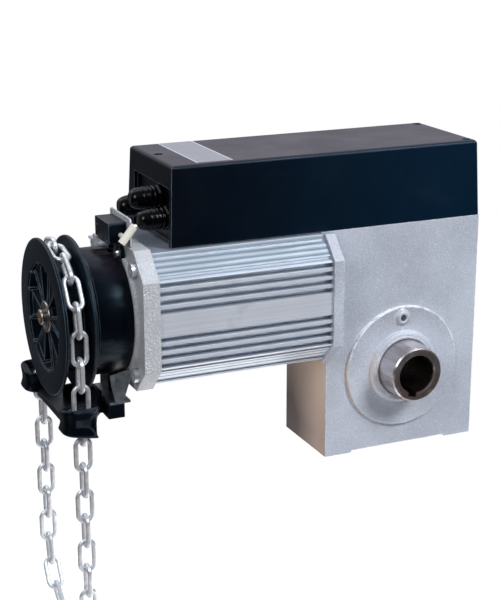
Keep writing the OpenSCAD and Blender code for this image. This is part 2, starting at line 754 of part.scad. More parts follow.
module interlock_switch_bracket() color([0.75, 0.76, 0.78]) difference() {
    union() {
        box([bracket_x0, -13, bracket_top - switch_plate], [shield_x0 + 9.5, 9, bracket_top]);
        sweep_x(switch_x[1] + 0.2, switch_x[1] + 0.2 + switch_plate)
            round_rect([-26, bracket_top - switch_plate], [11, 118.5], 2);
        box([bracket_x0, -6, bracket_top - eps], [bracket_x0 + switch_plate, 0, 105.5]);
    }
    translate([plunger_x, plunger_y, bracket_top - 2]) cylinder(h = 3, r = plunger_r + 0.7);
    for (y = bracket_screw_y)
        translate([bracket_screw_x, y, bracket_top - 2]) cylinder(h = 3, r = 1.6);
    for (spot = concat(switch_holes, [[7.5, 115.5]]))
        translate([0, spot[0], spot[1]]) rod_x(switch_x[1] - 1, switch_x[1] + 3, 1.6);
}

module interlock_switch_screws() color([0.8, 0.8, 0.82]) {
    for (spot = switch_holes)
        translate([switch_x[1] + 0.2 + switch_plate, spot[0], spot[1]]) rotate([0, 90, 0])
            screw(2.5, 1.6, 1.4, 12, 1);
    for (y = bracket_screw_y)
        translate([bracket_screw_x, y, bracket_top]) screw(2.6, 1.8, 1.2, 6.5, 1);
}

module interlock_switch_lead() color([0.85, 0.82, 0.72]) {
    translate([plunger_x - 0.9, lead_y, 105]) rotate([0, 40, 0]) cylinder(h = 13, r = 2.4);
    translate([plunger_x + 1.8, 0, 108]) rod_y(lead_y, switch_y[0] - 0.1, 1.6);
}

// ---- control cover ----

// side or end outline, narrower at the top by the mould's draft
module drafted_outline(a0, a1, z0, z1, r) hull() {
    translate([a0, z0]) square([a1 - a0, 0.1]);
    for (a = [a0 + cover_draft + r, a1 - cover_draft - r])
        translate([a, z1 - r]) circle(r, $fn = 32);
}

module cover_block(inset, z0, r) intersection() {
    sweep_y(cover_y0 - 1, cover_y1 + 1)
        drafted_outline(cover_x0 + inset, cover_x1 - inset, z0, cover_z1 - inset, r);
    sweep_x(cover_x0 - 1, cover_x1 + 1)
        drafted_outline(cover_y0 + inset, cover_y1 - inset, z0, cover_z1 - inset, r);
}

module at_cover_screws(z) for (spot = cover_screw_spots) translate([spot[0], spot[1], z]) children();

module cover_posts()
    for (i = [0:2])
        translate([cover_screw_spots[i][0], cover_screw_spots[i][1], cover_post_z[i]])
            cylinder(h = cover_z1 - cover_post_z[i], r = 5);

module control_cover() color([0.05, 0.05, 0.07]) difference() {
    cover_block(0, housing_top, 2.5);
    difference() {
        cover_block(cover_wall, housing_top - 1, 1.5);
        cover_posts();
    }
    box([cover_x0 - 1, gland_recess_y[0], housing_top - 1],
        [gland_recess_x + 1, gland_recess_y[1], gland_recess_z]);
    at_cover_screws(cover_screw_z) cylinder(h = 5, r = 3.4);
    at_cover_screws(housing_top) cylinder(h = cover_height, r = 1.8);
}

module cover_screws() color([0.2, 0.2, 0.22])
    for (i = [0:2])
        translate([cover_screw_spots[i][0], cover_screw_spots[i][1], cover_screw_z])
            screw(3, 2, 1.6, cover_screw_z - cover_post_z[i] + cover_screw_bite, 1.4);

module blank_label() color([0.75, 0.76, 0.79])
    box([cover_x0 + 20, -24, cover_z1], [cover_x0 + 44, 44, cover_z1 + 0.2]);

module at_base_screws(z) for (spot = base_screw_spots) translate([spot[0], spot[1], z]) children();

module base_plate() color([0.18, 0.18, 0.2]) difference() {
    union() {
        box([cover_x0 + cover_wall + 0.4, cover_y0 + cover_wall + 0.4, housing_top],
            [cover_x1 - cover_wall - 0.4, cover_y1 - cover_wall - 0.4, base_z1]);
        for (spot = board_pillars)
            translate([spot[0], spot[1], base_z1 - eps]) cylinder(h = 5, r = 3);
    }
    at_cover_screws(housing_top - 1) cylinder(h = 5, r = 1.65);
    at_base_screws(housing_top - 1) cylinder(h = 5, r = base_screw_r + 0.15);
}

module base_plate_screws() color([0.75, 0.75, 0.77])
    at_base_screws(base_z1) screw(3.5, 2.2, base_screw_r, 9, 1.6);

// ---- cable glands ----

module at_glands() for (spot = gland_spots) translate([0, spot[0], spot[1]]) children();

module gland_plate() color([0.06, 0.07, 0.08]) difference() {
    union() {
        box([gland_recess_x, gland_recess_y[0] + 0.3, base_z1 + 0.2],
            [gland_recess_x + 2.5, gland_recess_y[1] + 1, gland_recess_z + 2.4]);
        // lip for the cover's left screw
        box([gland_recess_x, cover_screw_spots[0][1] - 6, gland_recess_z - 1.6],
            [cover_screw_spots[0][0] + 5, cover_screw_spots[0][1] + 6, gland_recess_z + 2.4]);
    }
    at_cover_screws(gland_recess_z - 3) cylinder(h = 8, r = 1.65);
    at_glands() rod_x(gland_recess_x - 1, gland_recess_x + 4, 6.1);
}

module gland_bodies() color([0.03, 0.03, 0.03]) at_glands() difference() {
    union() {
        translate([gland_recess_x - 4.5, 0, 0]) rotate([0, 90, 0])
            cylinder(h = 4.4, r = gland_hex_r, $fn = 6);
        rod_x(gland_recess_x - 0.2, gland_recess_x + 10, 6);
        rod_x(gland_recess_x - 12, gland_recess_x - 4.4, 5.5);
    }
    rod_x(gland_recess_x - 13, gland_recess_x + 11, 3.6);
}

gland_tip_x = gland_recess_x - 22.6;
module gland_caps() color([0.03, 0.03, 0.03]) at_glands() difference() {
    union() {
        rod_x(gland_tip_x + gland_r, gland_recess_x - 4.6, gland_r);
        translate([gland_tip_x + gland_r, 0, 0]) sphere(gland_r);
    }
    rod_x(gland_recess_x - 14, gland_recess_x - 4, 5.6);
    rod_x(gland_tip_x - 1, gland_recess_x - 13, 3);
}

module gland_seals() color([0.05, 0.05, 0.05]) at_glands() {
    rod_x(gland_tip_x + 1, gland_recess_x - 12.5, 2.9);
    rod_x(gland_recess_x - 13.5, gland_recess_x - 12.2, 5.3);
}

module gland_locknuts() color([0.05, 0.05, 0.05]) at_glands() difference() {
    translate([gland_recess_x + 2.6, 0, 0]) rotate([0, 90, 0]) cylinder(h = 4, r = 7.8, $fn = 6);
    rod_x(gland_recess_x, gland_recess_x + 8, 6.05);
}

// ---- inside the control cover ----

module terminal_board() color([0.1, 0.35, 0.2]) difference() {
    box([-120, -17, board_z], [-40, 37, board_z + 1.6]);
    for (spot = board_pillars)
        translate([spot[0], spot[1], base_z1]) cylinder(h = 10, r = 1.6);
}

module terminal_blocks() color([0.2, 0.45, 0.3])
    for (x = block_x)
        translate([x, 10, board_z + 1.7]) difference() {
            box([-10, -14, 0], [10, 14, 13]);
            for (y = [-10.5:7:10.5]) {
                translate([0, y, 8]) cylinder(h = 6, r = 2.2);
                translate([0, y, 4]) rod_x(-11, 11, 1.8);
            }
        }

module limit_gear_unit() color([0.85, 0.85, 0.82]) difference() {
    box([-24, -16, base_z1 + 0.1], [10, 16, 132]);
    on_cam_axis() rod_x(0, 11, camshaft_r + run_gap);
}

module on_cam_axis() translate([0, 0, cam_axis_z]) children();

module limit_camshaft() color([0.7, 0.7, 0.72]) on_cam_axis() rod_x(0.5, 43, camshaft_r);

module limit_cams() color([0.8, 0.25, 0.15])
    on_cam_axis()
        for (i = [0:3])
            rotate([90 * i, 0, 0]) difference() {
                ring_x(cam_spots[i] - 2, cam_spots[i] + 2, cam_r, camshaft_r + seat_gap);
                translate([cam_spots[i] - 3, cam_r + 1.5, 0]) rotate([0, 90, 0]) cylinder(h = 6, r = 4);
            }

module limit_switches() color([0.1, 0.1, 0.12])
    for (x = cam_spots) {
        box([x - 3, cam_r + 2, base_z1 + 0.1], [x + 3, cam_r + 18, cam_axis_z + 8]);
        translate([x, 0, cam_axis_z]) rod_y(cam_r + 0.5, cam_r + 2 + eps, 1.2);
    }

gearbox_housing();
front_bearing_cover();
oil_level_plug();
output_shaft();
worm_wheel();
worm_wheel_key();
output_bearing_outer_rings();
output_bearing_inner_rings();
output_bearing_balls();
output_shaft_seals();
worm_shaft();
rotor_core();
rotor_end_rings();
rotor_bearing_outer_rings();
rotor_bearing_inner_rings();
rotor_bearing_balls();
rotor_shaft_seal();
motor_housing();
stator_core();
stator_windings();
end_shield();
tie_bolts();
hand_drive_housing();
hand_drive_screws();
hand_drive_bush();
hand_drive_shaft();
chain_wheel();
wheel_washer();
wheel_bolt();
clutch_disc();
clutch_lining();
rotor_clutch_hub();
chain_guide();
guide_bracket();
guide_screws();
hand_chain_upper();
hand_chain_lower();
interlock_switch_body();
interlock_switch_plunger();
interlock_switch_bracket();
interlock_switch_screws();
interlock_switch_lead();
control_cover();
cover_screws();
blank_label();
base_plate();
base_plate_screws();
gland_plate();
gland_bodies();
gland_caps();
gland_seals();
gland_locknuts();
terminal_board();
terminal_blocks();
limit_gear_unit();
limit_camshaft();
limit_cams();
limit_switches();
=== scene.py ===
"""Looks for the door operator: camera, studio, materials and detailed pieces around the CAD frame."""

import json
import math

import bmesh
import bpy
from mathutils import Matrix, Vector


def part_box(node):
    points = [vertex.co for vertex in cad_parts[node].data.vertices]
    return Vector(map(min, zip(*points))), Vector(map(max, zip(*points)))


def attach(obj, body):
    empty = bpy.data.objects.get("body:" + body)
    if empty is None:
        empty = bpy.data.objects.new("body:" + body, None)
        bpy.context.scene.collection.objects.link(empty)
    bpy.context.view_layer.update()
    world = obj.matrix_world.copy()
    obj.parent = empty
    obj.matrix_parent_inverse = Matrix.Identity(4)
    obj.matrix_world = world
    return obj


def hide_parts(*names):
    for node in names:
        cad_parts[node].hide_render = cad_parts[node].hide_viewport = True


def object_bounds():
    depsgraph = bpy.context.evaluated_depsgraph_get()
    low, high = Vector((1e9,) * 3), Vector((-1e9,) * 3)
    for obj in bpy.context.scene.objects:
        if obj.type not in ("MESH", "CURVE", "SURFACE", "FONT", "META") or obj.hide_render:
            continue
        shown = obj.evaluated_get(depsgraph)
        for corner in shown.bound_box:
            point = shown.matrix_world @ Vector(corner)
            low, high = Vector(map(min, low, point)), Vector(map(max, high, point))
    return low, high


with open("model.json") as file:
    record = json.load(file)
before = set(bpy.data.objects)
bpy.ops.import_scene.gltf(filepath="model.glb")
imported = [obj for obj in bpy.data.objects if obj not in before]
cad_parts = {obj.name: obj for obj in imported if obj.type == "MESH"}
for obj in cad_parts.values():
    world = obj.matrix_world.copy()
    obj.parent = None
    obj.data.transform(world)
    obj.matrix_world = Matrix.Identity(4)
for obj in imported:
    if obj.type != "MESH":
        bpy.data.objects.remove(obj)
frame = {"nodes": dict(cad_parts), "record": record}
CAD_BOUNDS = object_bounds()
MM = 0.001


# ---- camera -------------------------------------------------------------------------------------

# The view was solved together with the part's main sizes. The lens and the sensor are in millimetres
# and the shifts in sensor widths, as Blender takes them. Everything else is in metres and radians.
VIEW_AZIMUTH = math.radians(-24.21)
VIEW_ELEVATION = math.radians(17.13)
VIEW_TARGET = Vector((-95.74, -3.09, 45.20)) * MM
VIEW_DISTANCE = 0.9401
SENSOR_WIDTH = 36.0
LENS = 86.02
SHIFT_X, SHIFT_Y = -0.0083, 0.0119


def add_camera():
    """A long lens that looks at the part's front from the left and a little above."""
    back = Vector((math.cos(VIEW_ELEVATION) * math.sin(VIEW_AZIMUTH),
                   -math.cos(VIEW_ELEVATION) * math.cos(VIEW_AZIMUTH),
                   math.sin(VIEW_ELEVATION)))
    data = bpy.data.cameras.new("camera")
    data.sensor_width = SENSOR_WIDTH
    data.lens = LENS
    data.shift_x = SHIFT_X
    data.shift_y = SHIFT_Y
    data.clip_start = 0.01
    data.clip_end = 50.0
    camera = bpy.data.objects.new("camera", data)
    bpy.context.collection.objects.link(camera)
    camera.location = VIEW_TARGET + back * VIEW_DISTANCE
    camera.rotation_euler = (-back).to_track_quat("-Z", "Y").to_euler()
    bpy.context.scene.camera = camera


# ---- materials ----------------------------------------------------------------------------------

class Shader:
    """A material under construction: a Principled shader fed by object-space textures."""

    def __init__(self, name, **values):
        self.material = bpy.data.materials.new(name)
        self.material.use_nodes = True
        self.tree = self.material.node_tree
        self.bsdf = self.tree.nodes["Principled BSDF"]
        for key, value in values.items():
            self.set(key, value)
        self.coords = self.add("ShaderNodeTexCoord").outputs["Object"]

    def add(self, kind, **settings):
        node = self.tree.nodes.new(kind)
        for key, value in settings.items():
            setattr(node, key, value)
        return node

    def link(self, source, target):
        self.tree.links.new(source, target)

    def set(self, key, value):
        names = {"color": "Base Color", "metallic": "Metallic", "roughness": "Roughness",
                 "specular": "Specular IOR Level", "anisotropic": "Anisotropic"}
        socket = self.bsdf.inputs[names[key]]
        socket.default_value = (*value, 1.0) if key == "color" else value

    def stretched(self, scale):
        """The object's coordinates, scaled unevenly so that a texture runs along one axis."""
        mapping = self.add("ShaderNodeMapping")
        mapping.inputs["Scale"].default_value = scale
        self.link(self.coords, mapping.inputs["Vector"])
        return mapping.outputs["Vector"]

    def noise(self, scale, detail=4.0, rough=0.6, stretch=None):
        node = self.add("ShaderNodeTexNoise")
        node.inputs["Scale"].default_value = scale
        node.inputs["Detail"].default_value = detail
        node.inputs["Roughness"].default_value = rough
        self.link(self.stretched(stretch) if stretch else self.coords, node.inputs["Vector"])
        return node.outputs["Fac"]

    def axis(self, name):
        """Distance along X, Y or Z, in metres."""
        split = self.add("ShaderNodeSeparateXYZ")
        self.link(self.coords, split.inputs["Vector"])
        return split.outputs[name]

    def facing(self, name, low, high):
        """0 to 1 as the surface turns from low to high along an axis of the frame."""
        split = self.add("ShaderNodeSeparateXYZ")
        self.link(self.add("ShaderNodeTexCoord").outputs["Normal"], split.inputs["Vector"])
        return self.ramp(split.outputs[name], low, high)

    def radius_y(self):
        """Distance from the output shaft's axis, which is the frame's Y axis."""
        x, z = (self.math("POWER", self.axis(name), 2.0) for name in ("X", "Z"))
        return self.math("SQRT", self.math("ADD", x, z))

    def ramp(self, value, low, high, out_low=0.0, out_high=1.0):
        """out_low to out_high as the value goes from low to high, and flat beyond both."""
        node = self.add("ShaderNodeMapRange", clamp=True)
        node.inputs["From Min"].default_value = low
        node.inputs["From Max"].default_value = high
        node.inputs["To Min"].default_value = out_low
        node.inputs["To Max"].default_value = out_high
        self.link(value, node.inputs["Value"])
        return node.outputs["Result"]

    def math(self, operation, a, b=None):
        node = self.add("ShaderNodeMath", operation=operation)
        for socket, value in zip(node.inputs, (a, b)):
            if value is None:
                continue
            if isinstance(value, (int, float)):
                socket.default_value = value
            else:
                self.link(value, socket)
        return node.outputs[0]

    def color_mix(self, factor, a, b):
        node = self.add("ShaderNodeMixRGB")
        self.link(factor, node.inputs["Fac"])
        for socket, value in ((node.inputs["Color1"], a), (node.inputs["Color2"], b)):
            if isinstance(value, tuple):
                socket.default_value = (*value, 1.0)
            else:
                self.link(value, socket)
        return node.outputs["Color"]

    def edges(self, radius):
        """1 on convex and concave edges within that radius, 0 on flat stretches."""
        bevel = self.add("ShaderNodeBevel", samples=4)
        bevel.inputs["Radius"].default_value = radius
        geometry = self.add("ShaderNodeNewGeometry")
        dot = self.add("ShaderNodeVectorMath", operation="DOT_PRODUCT")
        self.link(bevel.outputs["Normal"], dot.inputs[0])
        self.link(geometry.outputs["Normal"], dot.inputs[1])
        return self.ramp(dot.outputs["Value"], 0.995, 0.9)

    def bump(self, height, distance, strength, under=None):
        """Normal for a relief that is up to distance deep, laid over the normal under it."""
        node = self.add("ShaderNodeBump")
        node.inputs["Distance"].default_value = distance
        node.inputs["Strength"].default_value = strength
        self.link(height, node.inputs["Height"])
        if under is not None:
            self.link(under, node.inputs["Normal"])
        return node.outputs["Normal"]

    def finish(self, color=None, roughness=None, normal=None):
        for key, value in (("Base Color", color), ("Roughness", roughness), ("Normal", normal)):
            if value is not None:
                self.link(value, self.bsdf.inputs[key])
        return self.material


def cast_paint(name="cast_paint", rim_chips_and_highlight=False):
    """Silver paint over a sand casting: flakes, stains and worn edges, and a painted warm reflection with
    painted shade under the motor; the last argument bares the cover's rim in chips, kept to its upper
    half as a painted highlight.
    """
    s = Shader(name, metallic=0.10, specular=0.45)
    tint = (0.58, 0.62, 0.71)
    dark = tuple(0.76 * c for c in tint)
    base = s.color_mix(s.ramp(s.noise(16.0, 3.0, 0.55), 0.35, 0.65), dark, tint)
    # flakes that catch the light, and dark pits between them
    flakes = s.noise(1100.0, 3.0, 0.75)
    base = s.color_mix(s.ramp(flakes, 0.52, 0.72, 0.0, 0.62), base, (0.84, 0.87, 0.95))
    base = s.color_mix(s.ramp(flakes, 0.46, 0.32, 0.0, 0.46), base, (0.30, 0.32, 0.38))
    # soft stains and a few light scrapes
    stains = s.ramp(s.noise(38.0, 6.0, 0.7), 0.58, 0.76, 0.0, 0.5)
    base = s.color_mix(stains, base, (0.66, 0.65, 0.66))
    scrapes = s.ramp(s.noise(120.0, 7.0, 0.8), 0.64, 0.70, 0.0, 0.8)
    base = s.color_mix(scrapes, base, (0.84, 0.86, 0.90))
    edge_wear_and_highlight = s.math("MULTIPLY", s.edges(0.9 * MM), s.ramp(s.noise(190.0, 5.0), 0.46, 0.56))
    base = s.color_mix(edge_wear_and_highlight, base, (0.92, 0.92, 0.94))
    # painted warm reflection on the face under the motor that looks left, with painted shade darker
    # towards its back and foot
    bounce_top, bounce_full, foot_z = 16 * MM, 8 * MM, -45 * MM
    front_y, back_y = -18 * MM, 22 * MM
    warm_bounce = s.math("MULTIPLY", s.facing("X", -0.6, -0.9), s.ramp(s.axis("Z"), bounce_top, bounce_full))
    # painted shade, deeper towards the back and the foot
    depth = s.math("ADD", s.ramp(s.axis("Y"), front_y, back_y, 0.0, 0.65),
                   s.ramp(s.axis("Z"), 0.0, foot_z, 0.0, 0.50))
    bounce_colour = s.color_mix(depth, (0.90, 0.66, 0.51), (0.085, 0.05, 0.035))
    base = s.color_mix(s.math("MULTIPLY", warm_bounce, 0.92), base, bounce_colour)
    if rim_chips_and_highlight:
        # chips of bare metal along the rim, kept to its upper half as a painted highlight
        bare_r = 40.3 * MM
        rim = s.math("MULTIPLY", s.ramp(s.radius_y(), bare_r, bare_r + 0.5 * MM),
                     s.ramp(s.axis("Z"), 4 * MM, 16 * MM))
        rim = s.math("MULTIPLY", rim, s.ramp(s.noise(230.0, 5.0, 0.7), 0.40, 0.52))
        base = s.color_mix(rim, base, (0.95, 0.95, 0.97))
    roughness = s.ramp(s.noise(420.0, 3.0), 0.3, 0.7, 0.36, 0.54)
    coarse = s.bump(flakes, 0.22 * MM, 0.5)
    fine = s.bump(s.noise(90.0, 3.0), 0.4 * MM, 0.25, coarse)
    return s.finish(base, roughness, fine)


def rough_casting():
    """Unpainted sandy casting of the motor's end shield. The switch's bracket takes the same look."""
    s = Shader("rough_casting", metallic=0.25, specular=0.5)
    grains = s.ramp(s.noise(1500.0, 3.0), 0.50, 0.72)
    clouds = s.ramp(s.noise(45.0, 4.0), 0.3, 0.7)
    base = s.color_mix(clouds, (0.50, 0.52, 0.56), (0.62, 0.64, 0.68))
    base = s.color_mix(grains, base, (0.90, 0.91, 0.94))
    roughness = s.ramp(s.noise(600.0, 3.0), 0.3, 0.7, 0.30, 0.55)
    return s.finish(base, roughness, s.bump(s.noise(650.0, 5.0), 1.3 * MM, 0.95))


def aluminium():
    """Extruded aluminium: faint die lines along the motor, painted shade in the cooling grooves and on
    the slopes, and painted highlights on crests and edges.
    """
    s = Shader("extruded_aluminium", metallic=0.40, specular=0.6)
    lines = s.noise(1400.0, 2.0, 0.5, (0.004, 1.0, 1.0))
    haze = s.noise(35.0, 4.0)
    base = s.color_mix(s.ramp(lines, 0.3, 0.7), (0.73, 0.77, 0.86), (0.86, 0.90, 0.97))
    base = s.color_mix(s.ramp(haze, 0.60, 0.80), base, (0.58, 0.61, 0.67))
    sparkle = s.ramp(s.noise(1000.0, 3.0, 0.7), 0.55, 0.75, 0.0, 0.5)
    base = s.color_mix(sparkle, base, (0.90, 0.92, 0.96))
    # painted shade on the walls of the grooves, which look up or down, but not on the motor's flat top
    motor_top = 97.0 * MM
    walls = s.math("MAXIMUM", s.facing("Z", 0.93, 0.98), s.facing("Z", -0.93, -0.98))
    groove = s.math("MULTIPLY", walls, s.ramp(s.axis("Z"), motor_top + 0.2 * MM, motor_top - 0.2 * MM))
    base = s.color_mix(s.math("MULTIPLY", groove, 0.62), base, (0.18, 0.27, 0.32))
    # painted shade: the slopes that look up are darker than the front
    base = s.color_mix(s.facing("Z", 0.25, 0.70), base, (0.42, 0.48, 0.57))
    # shallow drawn ridges on the slopes, with painted shade between them and painted highlights on their
    # crests
    ridge_pitch = 2.9 * MM
    slope = s.math("MAXIMUM",
                   s.math("MULTIPLY", s.facing("Z", 0.25, 0.60), s.facing("Z", 0.97, 0.93)),
                   s.math("MULTIPLY", s.facing("Z", -0.25, -0.60), s.facing("Z", -0.97, -0.93)))
    ridges = s.math("SINE", s.math("MULTIPLY", s.axis("Z"), 2.0 * math.pi / ridge_pitch))
    ridge_shade = s.math("MULTIPLY", slope, s.ramp(ridges, 0.20, 0.90, 0.0, 0.85))
    base = s.color_mix(ridge_shade, base, (0.17, 0.27, 0.33))
    crest_highlight = s.math("MULTIPLY", slope, s.ramp(ridges, -0.6, -0.95, 0.0, 0.45))
    base = s.color_mix(crest_highlight, base, (0.90, 0.93, 0.98))
    # painted highlight along the edges
    base = s.color_mix(s.math("MULTIPLY", s.edges(0.35 * MM), 0.8), base, (0.93, 0.95, 0.98))
    roughness = s.ramp(haze, 0.3, 0.7, 0.30, 0.42)
    relief = s.math("MULTIPLY", slope, ridges)
    return s.finish(base, roughness, s.bump(relief, 0.12 * MM, 0.4))


def black_plastic(name="black_plastic", rough=0.34, left=(0.0008, 0.0016, 0.0042),
                  right=(0.002, 0.004, 0.009), scuff_and_sheen=0.25, top_light=0.25, edge_highlight=0.9):
    """Moulded black plastic with a fine grain, a cloudy gloss and painted highlights along its edges.

    Its tone goes from left to right along X. The strengths after the two tones are, in order: the pale
    scuffs, which on the drum are raised to paint streaks of sheen;
    a painted lighter tone on the faces that look up; and painted highlights along the edges.
    """
    s = Shader(name, specular=0.18)
    s.bsdf.inputs["Specular Tint"].default_value = (0.55, 0.80, 1.0, 1.0)
    cloud = s.noise(28.0, 5.0, 0.62)
    left_x, right_x = -160 * MM, 30 * MM
    tint = s.color_mix(s.ramp(s.axis("X"), left_x, right_x), left, right)
    # pale scuffs; on the drum they are raised to paint streaks of sheen along it
    scuff_and_sheen_mask = s.ramp(s.noise(60.0, 8.0, 0.7, (0.35, 1.0, 1.0)), 0.58, 0.76)
    base = s.color_mix(s.math("MULTIPLY", scuff_and_sheen_mask, scuff_and_sheen), tint, (0.022, 0.036, 0.050))
    # painted light on the faces that look up, a little warmer than the plastic
    painted_top_light = s.math("MULTIPLY", s.facing("Z", 0.6, 1.0), top_light)
    base = s.color_mix(painted_top_light, base, (0.054, 0.043, 0.057))
    # painted highlights along the edges, broken up by noise
    edge_highlight_noise = s.ramp(s.noise(120.0, 4.0), 0.30, 0.60, 0.3 * edge_highlight, edge_highlight)
    edge_wear_and_highlight = s.math("MULTIPLY", s.edges(0.7 * MM), edge_highlight_noise)
    base = s.color_mix(edge_wear_and_highlight, base, (0.24, 0.30, 0.36))
    roughness = s.ramp(cloud, 0.3, 0.7, rough - 0.06, rough + 0.08)
    return s.finish(base, roughness, s.bump(s.noise(3200.0, 2.0), 0.05 * MM, 0.5))


def gloss_plastic():
    """Polished black nylon of the cable glands."""
    s = Shader("gloss_black_plastic", specular=0.20, color=(0.0012, 0.0013, 0.002))
    roughness = s.ramp(s.noise(70.0, 4.0), 0.3, 0.7, 0.08, 0.16)
    return s.finish(None, roughness, s.bump(s.noise(300.0, 2.0), 0.004 * MM, 0.3))


def turned_steel():
    """Machined steel of the output shaft: tool marks, rust below and on the end face, painted streaks of
    highlight and shade along the nose, and painted shade in the bore.
    """
    s = Shader("machined_steel", metallic=0.92, anisotropic=0.3, specular=0.6)
    end_y = -52.0 * MM
    bore_edge_r = 16.3 * MM
    marks = s.add("ShaderNodeTexNoise", noise_dimensions="1D")
    marks.inputs["Scale"].default_value = 4200.0
    marks.inputs["Detail"].default_value = 2.0
    s.link(s.axis("Y"), marks.inputs["W"])
    patches = s.noise(75.0, 6.0, 0.68)
    low = s.ramp(s.axis("Z"), 4 * MM, -20 * MM, 0.0, 0.36)
    end = s.ramp(s.axis("Y"), end_y + 1.0 * MM, end_y, 0.0, 0.26)
    rust = s.ramp(s.math("ADD", patches, s.math("ADD", low, end)), 0.58, 0.98)
    base = s.color_mix(rust, (0.55, 0.51, 0.52), (0.33, 0.24, 0.21))
    lines = s.ramp(marks.outputs["Fac"], 0.45, 0.62, 0.0, 0.45)
    base = s.color_mix(lines, base, (0.28, 0.24, 0.24))
    pits = s.ramp(s.noise(420.0, 4.0, 0.7), 0.62, 0.80, 0.0, 0.6)
    base = s.color_mix(pits, base, (0.20, 0.14, 0.12))
    # painted highlights and painted shade in streaks along the nose
    sheen_streaks = s.noise(130.0, 3.0, 0.55, (1.0, 0.05, 1.0))
    base = s.color_mix(s.ramp(sheen_streaks, 0.52, 0.66, 0.0, 0.7), base, (0.80, 0.77, 0.79))
    base = s.color_mix(s.ramp(sheen_streaks, 0.47, 0.36, 0.0, 0.45), base, (0.28, 0.23, 0.22))
    edge_wear_and_highlight = s.math("MULTIPLY", s.edges(0.6 * MM), s.ramp(s.noise(160.0, 3.0), 0.35, 0.6))
    base = s.color_mix(edge_wear_and_highlight, base, (0.60, 0.55, 0.51))
    # painted shade in the bore and the keyway, a little way in
    inside = s.math("MULTIPLY", s.ramp(s.radius_y(), bore_edge_r, bore_edge_r - 0.3 * MM),
                    s.ramp(s.axis("Y"), end_y + 0.4 * MM, end_y + 1.8 * MM))
    base = s.color_mix(inside, base, (0.075, 0.055, 0.047))
    roughness = s.ramp(rust, 0.0, 1.0, 0.25, 0.38)
    return s.finish(base, roughness, s.bump(marks.outputs["Fac"], 0.05 * MM, 0.6))


def galvanised():
    """Zinc-coated steel of the chain and the tie bolts: a pale mottled spangle."""
    s = Shader("galvanised_chain", metallic=0.65, specular=0.6)
    spangle = s.noise(260.0, 4.0, 0.65)
    base = s.color_mix(s.ramp(spangle, 0.35, 0.65), (0.60, 0.63, 0.67), (0.84, 0.86, 0.89))
    roughness = s.ramp(spangle, 0.3, 0.7, 0.46, 0.28)
    return s.finish(base, roughness, s.bump(s.noise(700.0, 3.0), 0.05 * MM, 0.6))


def metal(name, low, high, rough, scale=300.0, edge_wear_and_highlight=0.0):
    """Plain metal with two tones and fine pitting, for small parts; worn brightens its edges."""
    s = Shader(name, metallic=1.0)
    tone = s.noise(scale, 4.0)
    base = s.color_mix(s.ramp(tone, 0.3, 0.7), low, high)
    if edge_wear_and_highlight:
        base = s.color_mix(s.math("MULTIPLY", s.edges(0.5 * MM), edge_wear_and_highlight), base, (0.80, 0.74, 0.66))
    roughness = s.ramp(tone, 0.3, 0.7, rough, rough + 0.15)
    return s.finish(base, roughness, s.bump(s.noise(3.0 * scale, 3.0), 0.03 * MM, 0.5))


def bolt_steel():
    """Bolt with a rusty orange end face and a dark steel side."""
    s = Shader("bolt_face", metallic=1.0)
    tone = s.noise(500.0, 4.0)
    orange = s.color_mix(s.ramp(tone, 0.3, 0.7), (0.42, 0.20, 0.10), (0.66, 0.40, 0.24))
    steel = s.color_mix(s.ramp(tone, 0.3, 0.7), (0.30, 0.29, 0.29), (0.48, 0.46, 0.44))
    base = s.color_mix(s.facing("X", -0.75, -0.95), steel, orange)
    return s.finish(base, s.ramp(tone, 0.3, 0.7, 0.22, 0.38), s.bump(tone, 0.03 * MM, 0.4))


def plastic(name, low, high, rough=0.4, scale=120.0, spec=0.45):
    """Plain moulded plastic or rubber with slight tone changes."""
    s = Shader(name, specular=spec)
    tone = s.noise(scale, 4.0)
    base = s.color_mix(s.ramp(tone, 0.3, 0.7), low, high)
    roughness = s.ramp(tone, 0.3, 0.7, rough, rough + 0.12)
    return s.finish(base, roughness, s.bump(s.noise(1800.0, 2.0), 0.03 * MM, 0.4))


def silver_label():
    """Blank foil label with a faint brushed grain and a pale border along both long edges."""
    s = Shader("silver_label", metallic=0.35, specular=0.5)
    grain = s.noise(700.0, 3.0, 0.6, (1.0, 0.05, 1.0))
    base = s.color_mix(s.ramp(grain, 0.3, 0.7), (0.32, 0.325, 0.37), (0.37, 0.375, 0.42))
    low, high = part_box("blank_label")
    across = s.axis("X")
    outer, inner = 0.9 * MM, 1.3 * MM
    border = s.math("MAXIMUM", s.ramp(across, low.x + inner, low.x + outer),
                    s.ramp(across, high.x - inner, high.x - outer))
    base = s.color_mix(border, base, (0.66, 0.67, 0.72))
    roughness = s.ramp(grain, 0.3, 0.7, 0.30, 0.42)
    return s.finish(base, roughness, s.bump(grain, 0.01 * MM, 0.3))


def laminated_steel():
    """Stack of thin electrical sheets across the rotor axis."""
    s = Shader("laminated_steel", metallic=0.9)
    sheet_pitch = 1.0 * MM
    sheets = s.math("SINE", s.math("MULTIPLY", s.axis("X"), 2.0 * math.pi / sheet_pitch))
    base = s.color_mix(s.ramp(sheets, -1.0, 1.0), (0.16, 0.17, 0.19), (0.42, 0.43, 0.45))
    roughness = s.ramp(s.noise(300.0), 0.3, 0.7, 0.35, 0.5)
    return s.finish(base, roughness, s.bump(sheets, 0.1 * MM, 0.6))


def copper_wire():
    """Enamelled copper windings, wound round the stator's teeth."""
    s = Shader("copper_enamel", metallic=0.8)
    strands = s.noise(1300.0, 2.0, 0.5, (0.08, 1.0, 1.0))
    base = s.color_mix(s.ramp(strands, 0.35, 0.65), (0.30, 0.10, 0.04), (0.70, 0.32, 0.12))
    roughness = s.ramp(strands, 0.3, 0.7, 0.22, 0.40)
    return s.finish(base, roughness, s.bump(strands, 0.3 * MM, 0.8))


